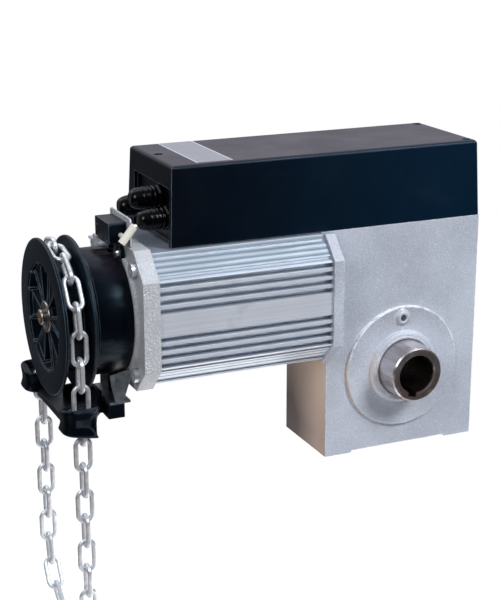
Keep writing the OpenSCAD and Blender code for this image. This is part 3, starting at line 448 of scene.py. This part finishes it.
def make_materials():
    """One material for each slot of the record, and the extra finishes that single pieces take."""
    return {
        "cast_paint": cast_paint(),
        "bearing_cover": cast_paint("bearing_cover", rim_chips_and_highlight=True),
        "rough_casting": rough_casting(),
        "extruded_aluminium": aluminium(),
        "black_plastic": black_plastic(),
        "cover_plastic": black_plastic(
            "cover_plastic", 0.36, right=(0.0012, 0.010, 0.024), scuff_and_sheen=0.10, top_light=1.0),
        "wheel_plastic": black_plastic(
            "wheel_plastic", 0.38, left=(0.0014, 0.0050, 0.0100), scuff_and_sheen=0.35),
        "guide_plastic": black_plastic("guide_plastic", 0.30, scuff_and_sheen=0.4, edge_highlight=0.12),
        # the drum's strong scuffs paint streaks of sheen along it
        "drum_plastic": black_plastic("drum_plastic", 0.30, scuff_and_sheen=0.9),
        "wheel_shade": plastic(
            "wheel_shade", (0.0004, 0.0005, 0.001), (0.001, 0.001, 0.002), 0.8, spec=0.03),
        "gloss_black_plastic": gloss_plastic(),
        "machined_steel": turned_steel(),
        "galvanised": galvanised(),
        "zinc_steel": metal("zinc_steel", (0.62, 0.63, 0.65), (0.80, 0.80, 0.81), 0.22),
        "dark_sheet": metal("dark_sheet", (0.24, 0.28, 0.31), (0.36, 0.40, 0.43), 0.34, edge_wear_and_highlight=0.8),
        "bolt_face": bolt_steel(),
        "washer_steel": metal(
            "washer_steel", (0.24, 0.21, 0.19), (0.40, 0.37, 0.35), 0.18, 60.0, edge_wear_and_highlight=0.6),
        "bronze": metal("bronze", (0.45, 0.28, 0.10), (0.66, 0.45, 0.20), 0.28),
        "copper_enamel": copper_wire(),
        "laminated_steel": laminated_steel(),
        "black_rubber": plastic("black_rubber", (0.012, 0.012, 0.013), (0.03, 0.03, 0.03), 0.62),
        "light_plastic": plastic("light_plastic", (0.78, 0.74, 0.62), (0.86, 0.83, 0.74), 0.38),
        "red_plastic": plastic("red_plastic", (0.45, 0.04, 0.03), (0.60, 0.08, 0.06), 0.35),
        "green_board": plastic("green_board", (0.02, 0.12, 0.06), (0.04, 0.20, 0.10), 0.30, 400.0),
        "silver_label": silver_label(),
    }


# ---- studio -------------------------------------------------------------------------------------

def area_light(name, place, towards, size, power, color):
    """A rectangular lamp: place, target and size in metres, power in watts."""
    data = bpy.data.lights.new(name, "AREA")
    data.shape = "RECTANGLE"
    data.size, data.size_y = size
    data.energy = power
    data.color = color
    light = bpy.data.objects.new(name, data)
    bpy.context.collection.objects.link(light)
    light.location = place
    light.rotation_euler = (Vector(towards) - Vector(place)).to_track_quat("-Z", "Y").to_euler()


def sky_strength(nodes, links):
    """Brightness of the surroundings by direction: bright behind and above, dim low and in front."""
    split = nodes.new("ShaderNodeSeparateXYZ")
    links.new(nodes.new("ShaderNodeTexCoord").outputs["Generated"], split.inputs["Vector"])

    def step(axis, low, high, out_low, out_high):
        part = nodes.new("ShaderNodeMapRange")
        part.interpolation_type = "SMOOTHSTEP"
        for key, value in (("From Min", low), ("From Max", high),
                           ("To Min", out_low), ("To Max", out_high)):
            part.inputs[key].default_value = value
        links.new(split.outputs[axis], part.inputs["Value"])
        return part.outputs["Result"]

    def combine(operation, first, second):
        node = nodes.new("ShaderNodeMath")
        node.operation = operation
        links.new(first, node.inputs[0])
        links.new(second, node.inputs[1])
        return node.outputs[0]

    behind = combine("MULTIPLY", step("Y", -0.3, 0.8, 0.0, 0.60), step("Z", -0.12, 0.22, 0.10, 1.0))
    return combine("ADD", behind, step("Z", 0.1, 0.9, 0.05, 0.28))


def add_world():
    """White to the camera, and a dimmer studio to everything that the object reflects."""
    world = bpy.data.worlds.new("studio")
    bpy.context.scene.world = world
    world.use_nodes = True
    nodes, links = world.node_tree.nodes, world.node_tree.links
    surroundings = nodes["Background"]
    surroundings.inputs["Color"].default_value = (0.90, 0.93, 1.0, 1.0)
    links.new(sky_strength(nodes, links), surroundings.inputs["Strength"])
    white = nodes.new("ShaderNodeBackground")
    white.inputs["Color"].default_value = (1.0, 1.0, 1.0, 1.0)
    path = nodes.new("ShaderNodeLightPath")
    blend = nodes.new("ShaderNodeMixShader")
    links.new(path.outputs["Is Camera Ray"], blend.inputs["Fac"])
    links.new(surroundings.outputs["Background"], blend.inputs[1])
    links.new(white.outputs["Background"], blend.inputs[2])
    links.new(blend.outputs["Shader"], nodes["World Output"].inputs["Surface"])


def floor_material():
    """Pale paper, a little self-lit, that fades into the white surroundings away from the middle."""
    s = Shader("floor_paper", specular=0.1, roughness=0.8)
    tone = s.color_mix(s.ramp(s.noise(3.0), 0.3, 0.7), (0.90, 0.89, 0.88), (0.93, 0.92, 0.91))
    s.finish(tone)
    s.bsdf.inputs["Emission Color"].default_value = (1.0, 0.98, 0.97, 1.0)
    s.bsdf.inputs["Emission Strength"].default_value = 0.55
    fade_start, fade_end = 0.08, 0.34
    distance = s.add("ShaderNodeVectorMath", operation="LENGTH")
    s.link(s.coords, distance.inputs[0])
    clear = s.add("ShaderNodeBsdfTransparent")
    blend = s.add("ShaderNodeMixShader")
    s.link(s.ramp(distance.outputs["Value"], fade_start, fade_end), blend.inputs["Fac"])
    s.link(s.bsdf.outputs["BSDF"], blend.inputs[1])
    s.link(clear.outputs["BSDF"], blend.inputs[2])
    s.link(blend.outputs["Shader"], s.tree.nodes["Material Output"].inputs["Surface"])
    return s.material


def add_floor(middle, lowest):
    """A wide round floor just under the hanging chain."""
    floor_r = 1.0
    floor_gap = 12 * MM
    bm = bmesh.new()
    bmesh.ops.create_circle(bm, cap_ends=True, segments=96, radius=floor_r)
    mesh = bpy.data.meshes.new("floor")
    bm.to_mesh(mesh)
    bm.free()
    floor = bpy.data.objects.new("floor", mesh)
    bpy.context.collection.objects.link(floor)
    floor.location = (middle.x, middle.y, lowest - floor_gap)
    mesh.materials.append(floor_material())


def add_studio():
    """White surroundings, soft boxes, and a pale floor under the hanging chain."""
    view = bpy.context.scene.view_settings
    view.view_transform = "Standard"
    view.look = "None"
    low, high = (Vector(corner) for corner in CAD_BOUNDS)
    middle = (low + high) / 2
    add_world()
    add_floor(middle, low.z)
    gearbox_front = (0.0, -0.05, 0.06)
    cool, white, warm = (0.94, 0.965, 1.0), (1.0, 1.0, 1.0), (1.0, 0.70, 0.48)
    area_light("key", (0.62, -1.05, 1.10), middle, (0.6, 0.5), 13.5, cool)
    area_light("near", (0.30, -0.55, 0.50), gearbox_front, (0.25, 0.25), 2.3, cool)
    area_light("left", (-1.05, -0.85, 0.85), middle, (0.5, 0.7), 7.5, (0.93, 0.96, 1.0))
    area_light("top", (-0.05, 0.35, 1.3), middle, (1.1, 0.8), 3.2, (0.94, 0.96, 1.0))
    area_light("rim", (-0.75, 0.75, 1.0), middle, (0.6, 0.6), 2.5, white)
    area_light("warm", (-0.55, -0.45, -0.30), middle, (0.4, 0.3), 0.25, warm)


# ---- CAD nodes ----------------------------------------------------------------------------------

# nodes that take a finer finish than their slot's own
SPECIAL_FINISH = {
    "end_shield": "rough_casting",
    "hand_chain_upper": "galvanised",
    "hand_chain_lower": "galvanised",
    "chain_wheel": "wheel_plastic",
    "wheel_bolt": "bolt_face",
    "front_bearing_cover": "bearing_cover",
    "control_cover": "cover_plastic",
    "gland_plate": "cover_plastic",
    "guide_bracket": "dark_sheet",
    "interlock_switch_bracket": "rough_casting",
    "interlock_switch_plunger": "black_plastic",
    "hand_drive_housing": "drum_plastic",
    "tie_bolts": "galvanised",
}

# castings and mouldings have no knife edges: width of the rounding, in millimetres
ROUNDED_EDGES = {
    "gearbox_housing": 0.5,
    "end_shield": 0.5,
    "motor_housing": 0.18,
    "hand_drive_housing": 0.5,
    "front_bearing_cover": 0.35,
    "control_cover": 0.6,
    "interlock_switch_body": 0.8,
}


def finish_cad_nodes(materials):
    """Gives every CAD node its material, and rounds the edges of the larger mouldings."""
    slots = {row["node"]: row["material_slot"] for row in frame["record"]["subparts"]}
    for name, node in frame["nodes"].items():
        node.data.materials.clear()
        node.data.materials.append(materials[SPECIAL_FINISH.get(name, slots[name])])
    for name, width in ROUNDED_EDGES.items():
        weld = frame["nodes"][name].modifiers.new("weld", "WELD")
        weld.merge_threshold = 1e-6
        add_bevel(frame["nodes"][name], width * MM)


# ---- mesh helpers -------------------------------------------------------------------------------

def add_piece(name, bm, material, body, replaces=(), bevel=0.0, sharp=35.0):
    """Turns bmesh geometry, already in the frame's metres, into a piece that rides on a body.

    Edges that turn by more than sharp degrees stay sharp in the shading.
    """
    bmesh.ops.remove_doubles(bm, verts=bm.verts, dist=1e-7)
    bmesh.ops.recalc_face_normals(bm, faces=bm.faces)
    limit = math.radians(sharp)
    for face in bm.faces:
        face.smooth = True
    for edge in bm.edges:
        edge.smooth = len(edge.link_faces) == 2 and edge.calc_face_angle(math.pi) < limit
    mesh = bpy.data.meshes.new(name)
    bm.to_mesh(mesh)
    bm.free()
    mesh.materials.append(material)
    piece = bpy.data.objects.new(name, mesh)
    bpy.context.collection.objects.link(piece)
    if bevel:
        add_bevel(piece, bevel)
    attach(piece, body)
    if replaces:
        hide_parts(*replaces)


def add_bevel(piece, width):
    """Rounds the edges that turn by more than 35 degrees."""
    modifier = piece.modifiers.new("bevel", "BEVEL")
    modifier.width = width
    modifier.segments = 2
    modifier.limit_method = "ANGLE"
    modifier.angle_limit = math.radians(35.0)
    modifier.harden_normals = True


def lathe(bm, profile, centre, axis="x", segments=72, closed=False):
    """Revolves a profile of (distance along the axis, radius) about the x or y axis through centre.

    A radius of zero gives one point, and a closed profile joins its last ring to its first.
    """
    rings = []
    for along, radius in profile:
        ring = []
        for i in range(segments if radius > 1e-9 else 1):
            a = 2 * math.pi * i / segments
            u, v = radius * math.cos(a), radius * math.sin(a)
            spot = (along, u, v) if axis == "x" else (u, along, v)
            ring.append(bm.verts.new(Vector(spot) + Vector(centre)))
        rings.append(ring)
    following = rings[1:] + rings[:1] if closed else rings[1:]
    for first, second in zip(rings, following):
        count = max(len(first), len(second))
        for i in range(count):
            j = (i + 1) % count
            corners = []
            for ring, k in ((first, i), (first, j), (second, j), (second, i)):
                vert = ring[k % len(ring)]
                if vert not in corners:
                    corners.append(vert)
            if len(corners) > 2:
                bm.faces.new(corners)


def prism(bm, outline, start, end, place):
    """Sweeps a closed outline between two depths; place(depth, u, v) gives the point in space."""
    first = [bm.verts.new(place(start, u, v)) for u, v in outline]
    second = [bm.verts.new(place(end, u, v)) for u, v in outline]
    bm.faces.new(first)
    bm.faces.new(list(reversed(second)))
    for i in range(len(outline)):
        j = (i + 1) % len(outline)
        bm.faces.new([first[i], first[j], second[j], second[i]])


def along_y(depth, u, v):
    return (u, depth, v)


def along_z(depth, u, v):
    return (u, v, depth)


def loft(bm, loops, closed=False):
    """Skins equal loops of points one after another, and caps both ends unless closed."""
    rings = [[bm.verts.new(Vector(point)) for point in loop] for loop in loops]
    pairs = list(zip(rings, rings[1:]))
    if closed:
        pairs.append((rings[-1], rings[0]))
    else:
        bm.faces.new(rings[0])
        bm.faces.new(list(reversed(rings[-1])))
    for first, second in pairs:
        for i in range(len(first)):
            j = (i + 1) % len(first)
            bm.faces.new([first[i], first[j], second[j], second[i]])


def scaled(points):
    """Millimetres to metres."""
    return [tuple(MM * value for value in point) for point in points]


def polar(radius, degrees):
    """The point at that radius and angle."""
    angle = math.radians(degrees)
    return (radius * math.cos(angle), radius * math.sin(angle))


# ---- chain wheel --------------------------------------------------------------------------------

def add_chain_wheel(material, shade):
    """Moulded wheel: a grooved rim, six recessed webs with a rib on each side, and a hub."""
    low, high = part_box("chain_wheel")
    front, back = low.x / MM, high.x / MM
    rim_r = (high.y - low.y) / 2 / MM
    centre = (0.0, (low.y + high.y) / 2, (low.z + high.z) / 2)
    inner_r = 34.0
    groove_r = 35.6
    hub_r = 10.0
    bore_r = 6.1
    front_lip = [(front + 0.9, inner_r - 0.9), (front, inner_r + 0.2), (front, rim_r - 1.3),
                 (front + 0.25, rim_r - 0.7), (front + 0.1, rim_r - 0.35), (front + 0.6, rim_r),
                 (front + 1.8, rim_r), (front + 2.4, rim_r - 0.6)]
    groove = [(front + 3.4, groove_r + 1.6), (front + 4.6, groove_r),
              (back - 4.6, groove_r), (back - 3.4, groove_r + 1.6)]
    back_lip = [(back - 2.4, rim_r - 0.6), (back - 1.8, rim_r), (back - 0.6, rim_r),
                (back, rim_r - 0.6), (back, inner_r - 2.0), (back - 2.0, inner_r - 1.6),
                (front + 8.0, inner_r - 1.2)]
    hub = [(front + 3.0, bore_r), (front + 3.0, hub_r - 0.6), (front + 3.6, hub_r),
           (back - 0.6, hub_r + 0.5), (back - 0.6, bore_r)]
    bm = bmesh.new()
    lathe(bm, scaled(front_lip + groove + back_lip), centre, segments=144, closed=True)
    lathe(bm, scaled(hub), centre, closed=True)

    def about_axis(depth, u, v):
        return (depth * MM, centre[1] + u * MM, centre[2] + v * MM)

    # half widths in degrees: a web is narrow at the hub and broad at the rim
    web_step, hub_turn, rim_turn = 60, 8, 15
    root_r, web_r, rib_r = hub_r - 1, inner_r - 0.5, inner_r - 0.3
    for turn in range(0, 360, web_step):
        web = [polar(root_r, turn - hub_turn), polar(web_r, turn - rim_turn), polar(web_r, turn - 5),
               polar(web_r, turn + 5), polar(web_r, turn + rim_turn), polar(root_r, turn + hub_turn)]
        prism(bm, web, front + 3.4, front + 5.4, about_axis)
        for side in (-1, 1):
            near, far = turn + side * hub_turn, turn + side * rim_turn
            rib = [polar(root_r, near - 5), polar(rib_r, far - 1.3),
                   polar(rib_r, far + 1.3), polar(root_r, near + 5)]
            prism(bm, rib, front + 2.2, front + 6.8, about_axis)
            # short lugs where the rib meets the rim
            lug = [polar(inner_r - 2.3, far + side * 1.0), polar(inner_r + 0.5, far + side * 0.6),
                   polar(inner_r + 0.5, far + side * 4.2), polar(inner_r - 1.4, far + side * 3.2)]
            prism(bm, lug, front + 0.5, front + 6.0, about_axis)
    add_piece("chain_wheel_moulding", bm, material, "hand_wheel",
              ["chain_wheel"], bevel=0.3 * MM)
    # the closed back behind the windows, in a near-black matte that paints the shade seen through them
    closed_back = [(back - 2.6, hub_r - 1.0), (back - 3.0, hub_r + 2.0), (back - 2.6, inner_r - 1.0),
                   (back - 1.0, inner_r - 1.0), (back - 1.0, hub_r - 1.0)]
    bm = bmesh.new()
    lathe(bm, scaled(closed_back), centre, segments=96, closed=True)
    add_piece("chain_wheel_back", bm, shade, "hand_wheel")


def add_wheel_bolt(face_material, ring_material):
    """Low round head with a slight dish, on a washer whose rim stands proud."""
    low, high = (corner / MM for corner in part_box("wheel_washer"))
    front, back = low.x, high.x
    centre = (0.0, (low.y + high.y) / 2 * MM, (low.z + high.z) / 2 * MM)
    head_r = 5.0
    shank_r = 2.4
    shank_end = back + 10.0
    head = [(front - 3.0, 0.0), (front - 3.0, 1.3), (front - 3.4, 1.8), (front - 3.6, 3.6),
            (front - 3.4, 4.4), (front - 2.9, 4.9), (front - 2.2, head_r), (front, head_r),
            (shank_end, shank_r), (shank_end, 0.0)]
    bm = bmesh.new()
    lathe(bm, scaled(head), centre, segments=48)
    add_piece("wheel_bolt_head", bm, face_material, "hand_wheel",
              ["wheel_bolt"], sharp=50.0)
    hole_r = 2.8
    washer_r = 10.0
    washer = [(front + 0.2, hole_r), (front + 0.2, 6.6), (front - 0.1, 7.0), (front - 0.3, 7.6),
              (front - 0.3, 9.0), (front, 9.7), (front + 0.5, washer_r), (back, washer_r),
              (back, hole_r)]
    bm = bmesh.new()
    lathe(bm, scaled(washer), centre, closed=True)
    add_piece("wheel_washer_rim", bm, ring_material, "hand_wheel",
              ["wheel_washer"], sharp=50.0)


# ---- chain guide --------------------------------------------------------------------------------

def rounded_loop(half_u, half_v, power, count=48):
    """Superellipse: power 2 is an ellipse, and larger powers are squarer."""
    loop = []
    for i in range(count):
        a = 2 * math.pi * i / count
        c, s = math.cos(a), math.sin(a)
        loop.append((half_u * math.copysign(abs(c) ** (2 / power), c),
                     half_v * math.copysign(abs(s) ** (2 / power), s)))
    return loop


def guide_eye(bm, hole_x, hole_y, low, high):
    """One eye: a wall that rises on the outer side and leans in below on the right, and a square hole."""
    side = math.copysign(1.0, hole_y)
    half_x, half_y, half_hole = 12.3, 10.2, 7.7
    # the hole sits off the eye's middle, to the right and outwards
    shift_x, shift_y = 1.2, 1.3 * side
    middle_x, middle_y = hole_x - shift_x, hole_y - shift_y
    # the lower right leans in, the bottom rises to the left, and the top falls towards the middle
    lean, rise, fall = 3.0, 2.2, 2.4
    wall_power, hole_power = 3.6, 6.0

    def spot(u, v, share, lean_in):
        rightward, outward = u / half_x, v * side / half_y
        bottom = low + rise * (1 - rightward)
        top = high - fall * (1 - outward)
        x = middle_x + u - lean_in * (1 - share) * max(0.0, rightward)
        return (x * MM, (middle_y + v) * MM, (bottom + (top - bottom) * share) * MM)

    # height up the wall from 0 at the bottom to 1 at the top, and how far the surface stands back
    wall = ((0.0, 1.6), (0.04, 0.5), (0.10, 0.1), (0.22, 0.6), (0.38, 1.2), (0.60, 1.2),
            (0.82, 0.7), (0.93, 0.6), (0.98, 1.0), (1.0, 1.8))
    # height in the hole from the top down, and its half width there
    hole = ((0.94, half_hole + 0.8), (0.80, half_hole), (0.10, half_hole), (0.02, half_hole + 0.8))
    loops = []
    for share, back in wall:
        outline = rounded_loop(half_x - back, half_y - back, wall_power)
        loops.append([spot(u, v, share, lean) for u, v in outline])
    for share, half in hole:
        outline = rounded_loop(half, half, hole_power)
        loops.append([spot(u + shift_x, v + shift_y, share, 0.0) for u, v in outline])
    loft(bm, loops, closed=True)


def add_chain_guide(material):
    """Yoke under the wheel: two eyes, a diagonal arm between them and a foot under the bracket."""
    low, high = (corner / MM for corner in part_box("chain_guide"))
    chain_low, chain_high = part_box("hand_chain_lower")
    wheel_x = (chain_low.x + chain_high.x) / 2 / MM
    strand_y = high.y - 11.5
    bm = bmesh.new()
    for hole_y in (-strand_y, strand_y):
        guide_eye(bm, wheel_x, hole_y, low.z, high.z)
    add_piece("chain_guide_eyes", bm, material, "frame",
              ["chain_guide"], sharp=50.0)
    arm_bottom, arm_top = low.z + 1.0, -3.2
    foot_bottom, foot_top = -5.0, 4.2
    foot_x = high.x - 14.5
    arm_x = wheel_x + 5
    half_arm = 35
    foot_near, foot_far = -33, 5
    fin_y, wall_y = (-24, -9), (11, 13.5)
    arm = [(wheel_x - 5.5, -half_arm), (wheel_x - 5.5, half_arm), (arm_x, half_arm), (wheel_x + 9, 22),
           (wheel_x + 21, 7), (wheel_x + 21, -14), (wheel_x + 9, -30), (arm_x, -half_arm)]
    foot = [(foot_x, foot_near), (foot_x, foot_far), (high.x, foot_far), (high.x, -20),
            (high.x - 4, foot_near)]
    # in side view: a fin that rises from the foot, and a wall between the arm and the foot
    fin = [(high.x - 19.5, -3.5), (high.x - 19.0, 12.0), (high.x - 15.5, 11.0), (high.x - 14.6, -3.5)]
    wall = [(arm_x, low.z + 3), (arm_x, 5.0), (foot_x, 6.0), (foot_x, low.z + 3)]
    bm = bmesh.new()
    prism(bm, scaled(arm), arm_bottom * MM, arm_top * MM, along_z)
    prism(bm, scaled(foot), foot_bottom * MM, foot_top * MM, along_z)
    prism(bm, scaled(fin), fin_y[0] * MM, fin_y[1] * MM, along_y)
    prism(bm, scaled(wall), wall_y[0] * MM, wall_y[1] * MM, along_y)
    add_piece("chain_guide_moulding", bm, material, "frame", bevel=0.5 * MM)


# ---- cable glands -------------------------------------------------------------------------------

def add_glands(material):
    """Each gland has a tapered hexagon, a collar and a domed cap with grooves round it."""
    low, high = (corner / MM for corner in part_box("gland_caps"))
    plate_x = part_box("gland_bodies")[1].x / MM - 10.0
    tip = low.x
    collar = plate_x - 5.0
    dome_start = collar - 3.0
    cap_r = 7.2
    seat_r, dome_rise = 3.0, 4.1
    hole_r = 2.9
    dome_steps, grooved_steps, groove_depth = 32, (6, 14), 0.25
    upper_y = -5.0
    spots = ((low.y + cap_r, low.z + cap_r), (upper_y, high.z - cap_r),
             (high.y - cap_r, low.z + cap_r + 1.0))
    hexagons, caps = bmesh.new(), bmesh.new()
    for y, z in spots:
        loops = []
        corners = [math.radians(60 * k) for k in range(6)]
        for x, radius in ((plate_x - 0.1, 7.9), (plate_x - 3.6, 7.7),
                          (plate_x - 4.6, 7.2), (plate_x - 5.0, 6.4)):
            loops.append([(x * MM, y * MM + radius * MM * math.sin(a),
                           z * MM + radius * MM * math.cos(a)) for a in corners])
        loft(hexagons, loops)
        outline = [(plate_x - 4.2, 5.0), (plate_x - 4.9, 6.6), (collar - 0.4, 7.0), (collar - 1.5, 7.2),
                   (collar - 2.3, 7.0), (collar - 2.6, 6.5), (collar - 3.0, 6.6)]
        for i in range(1, dome_steps + 1):
            t = i / dome_steps
            groove = groove_depth if i in grooved_steps else 0.0
            radius = seat_r + dome_rise * math.sqrt(1 - t ** 3.2) - groove
            outline.append((dome_start + (tip - dome_start) * t, radius))
        outline += [(tip + 0.6, hole_r + 0.05), (tip + 3.0, hole_r), (tip + 3.0, 0.0)]
        lathe(caps, scaled(outline), (0.0, y * MM, z * MM), segments=64)
    add_piece("gland_hexagons", hexagons, material, "frame", ["gland_bodies"], bevel=0.35 * MM)
    add_piece("gland_domes", caps, material, "frame", ["gland_caps"], sharp=50.0)


# ---- bearing cover ------------------------------------------------------------------------------

def add_bearing_cover(material):
    """Disc with a rounded rim, a ring round the shaft with two turned steps, and the plug's boss."""
    low, high = (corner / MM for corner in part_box("front_bearing_cover"))
    disc_r = (high.x - low.x) / 2
    back = high.y
    ring_y = -35.2
    disc_y = ring_y + 3.0
    lip_r, ring_r = 19.85, 24.6
    seal_r, seal_y = 21.6, ring_y + 1.2
    bearing_r, bearing_y = disc_r - 7.7, ring_y + 7.2
    lip = [(seal_y, lip_r), (ring_y + 0.3, lip_r), (ring_y, lip_r + 0.3), (ring_y, lip_r + 1.5),
           (ring_y + 0.5, lip_r + 1.7), (ring_y + 0.5, lip_r + 2.1), (ring_y + 0.15, lip_r + 2.3)]
    ring = [(ring_y + 0.15, ring_r - 1.2), (ring_y + 0.5, ring_r - 0.8), (ring_y + 0.6, ring_r - 0.3),
            (ring_y + 1.1, ring_r)]
    disc = [(disc_y - 0.5, ring_r + 0.1), (disc_y - 0.1, ring_r + 0.5), (disc_y, ring_r + 1.2),
            (disc_y, disc_r - 1.4), (disc_y - 0.15, disc_r - 1.1), (disc_y - 0.35, disc_r - 0.6),
            (disc_y - 0.2, disc_r - 0.15), (disc_y + 0.2, disc_r)]
    inside = [(back, disc_r), (back, bearing_r), (bearing_y, bearing_r), (bearing_y, seal_r),
              (seal_y, seal_r)]
    bm = bmesh.new()
    lathe(bm, scaled(lip + ring + disc + inside), (0.0, 0.0, 0.0), "y", 144, closed=True)
    boss_y = ring_y + 0.8
    hole_r = 2.1
    plug_x, plug_z = -1.2 * MM, 34.3 * MM
    boss = [(disc_y + 0.2, 6.4), (disc_y - 0.1, 5.9), (disc_y - 0.5, 5.3), (boss_y + 0.9, 4.8),
            (boss_y + 0.3, 4.2), (boss_y, 3.3), (boss_y, 2.6), (boss_y + 0.4, hole_r + 0.05),
            (disc_y + 0.2, hole_r)]
    lathe(bm, scaled(boss), (plug_x, 0.0, plug_z), "y", 48)
    add_piece("bearing_cover_casting", bm, material, "frame",
              ["front_bearing_cover"], sharp=50.0)


# ---- the scene ----------------------------------------------------------------------------------

add_camera()
MATERIALS = make_materials()
add_studio()
finish_cad_nodes(MATERIALS)
add_chain_wheel(MATERIALS["wheel_plastic"], MATERIALS["wheel_shade"])
add_wheel_bolt(MATERIALS["bolt_face"], MATERIALS["washer_steel"])
add_chain_guide(MATERIALS["guide_plastic"])
add_glands(MATERIALS["gloss_black_plastic"])
add_bearing_cover(MATERIALS["bearing_cover"])
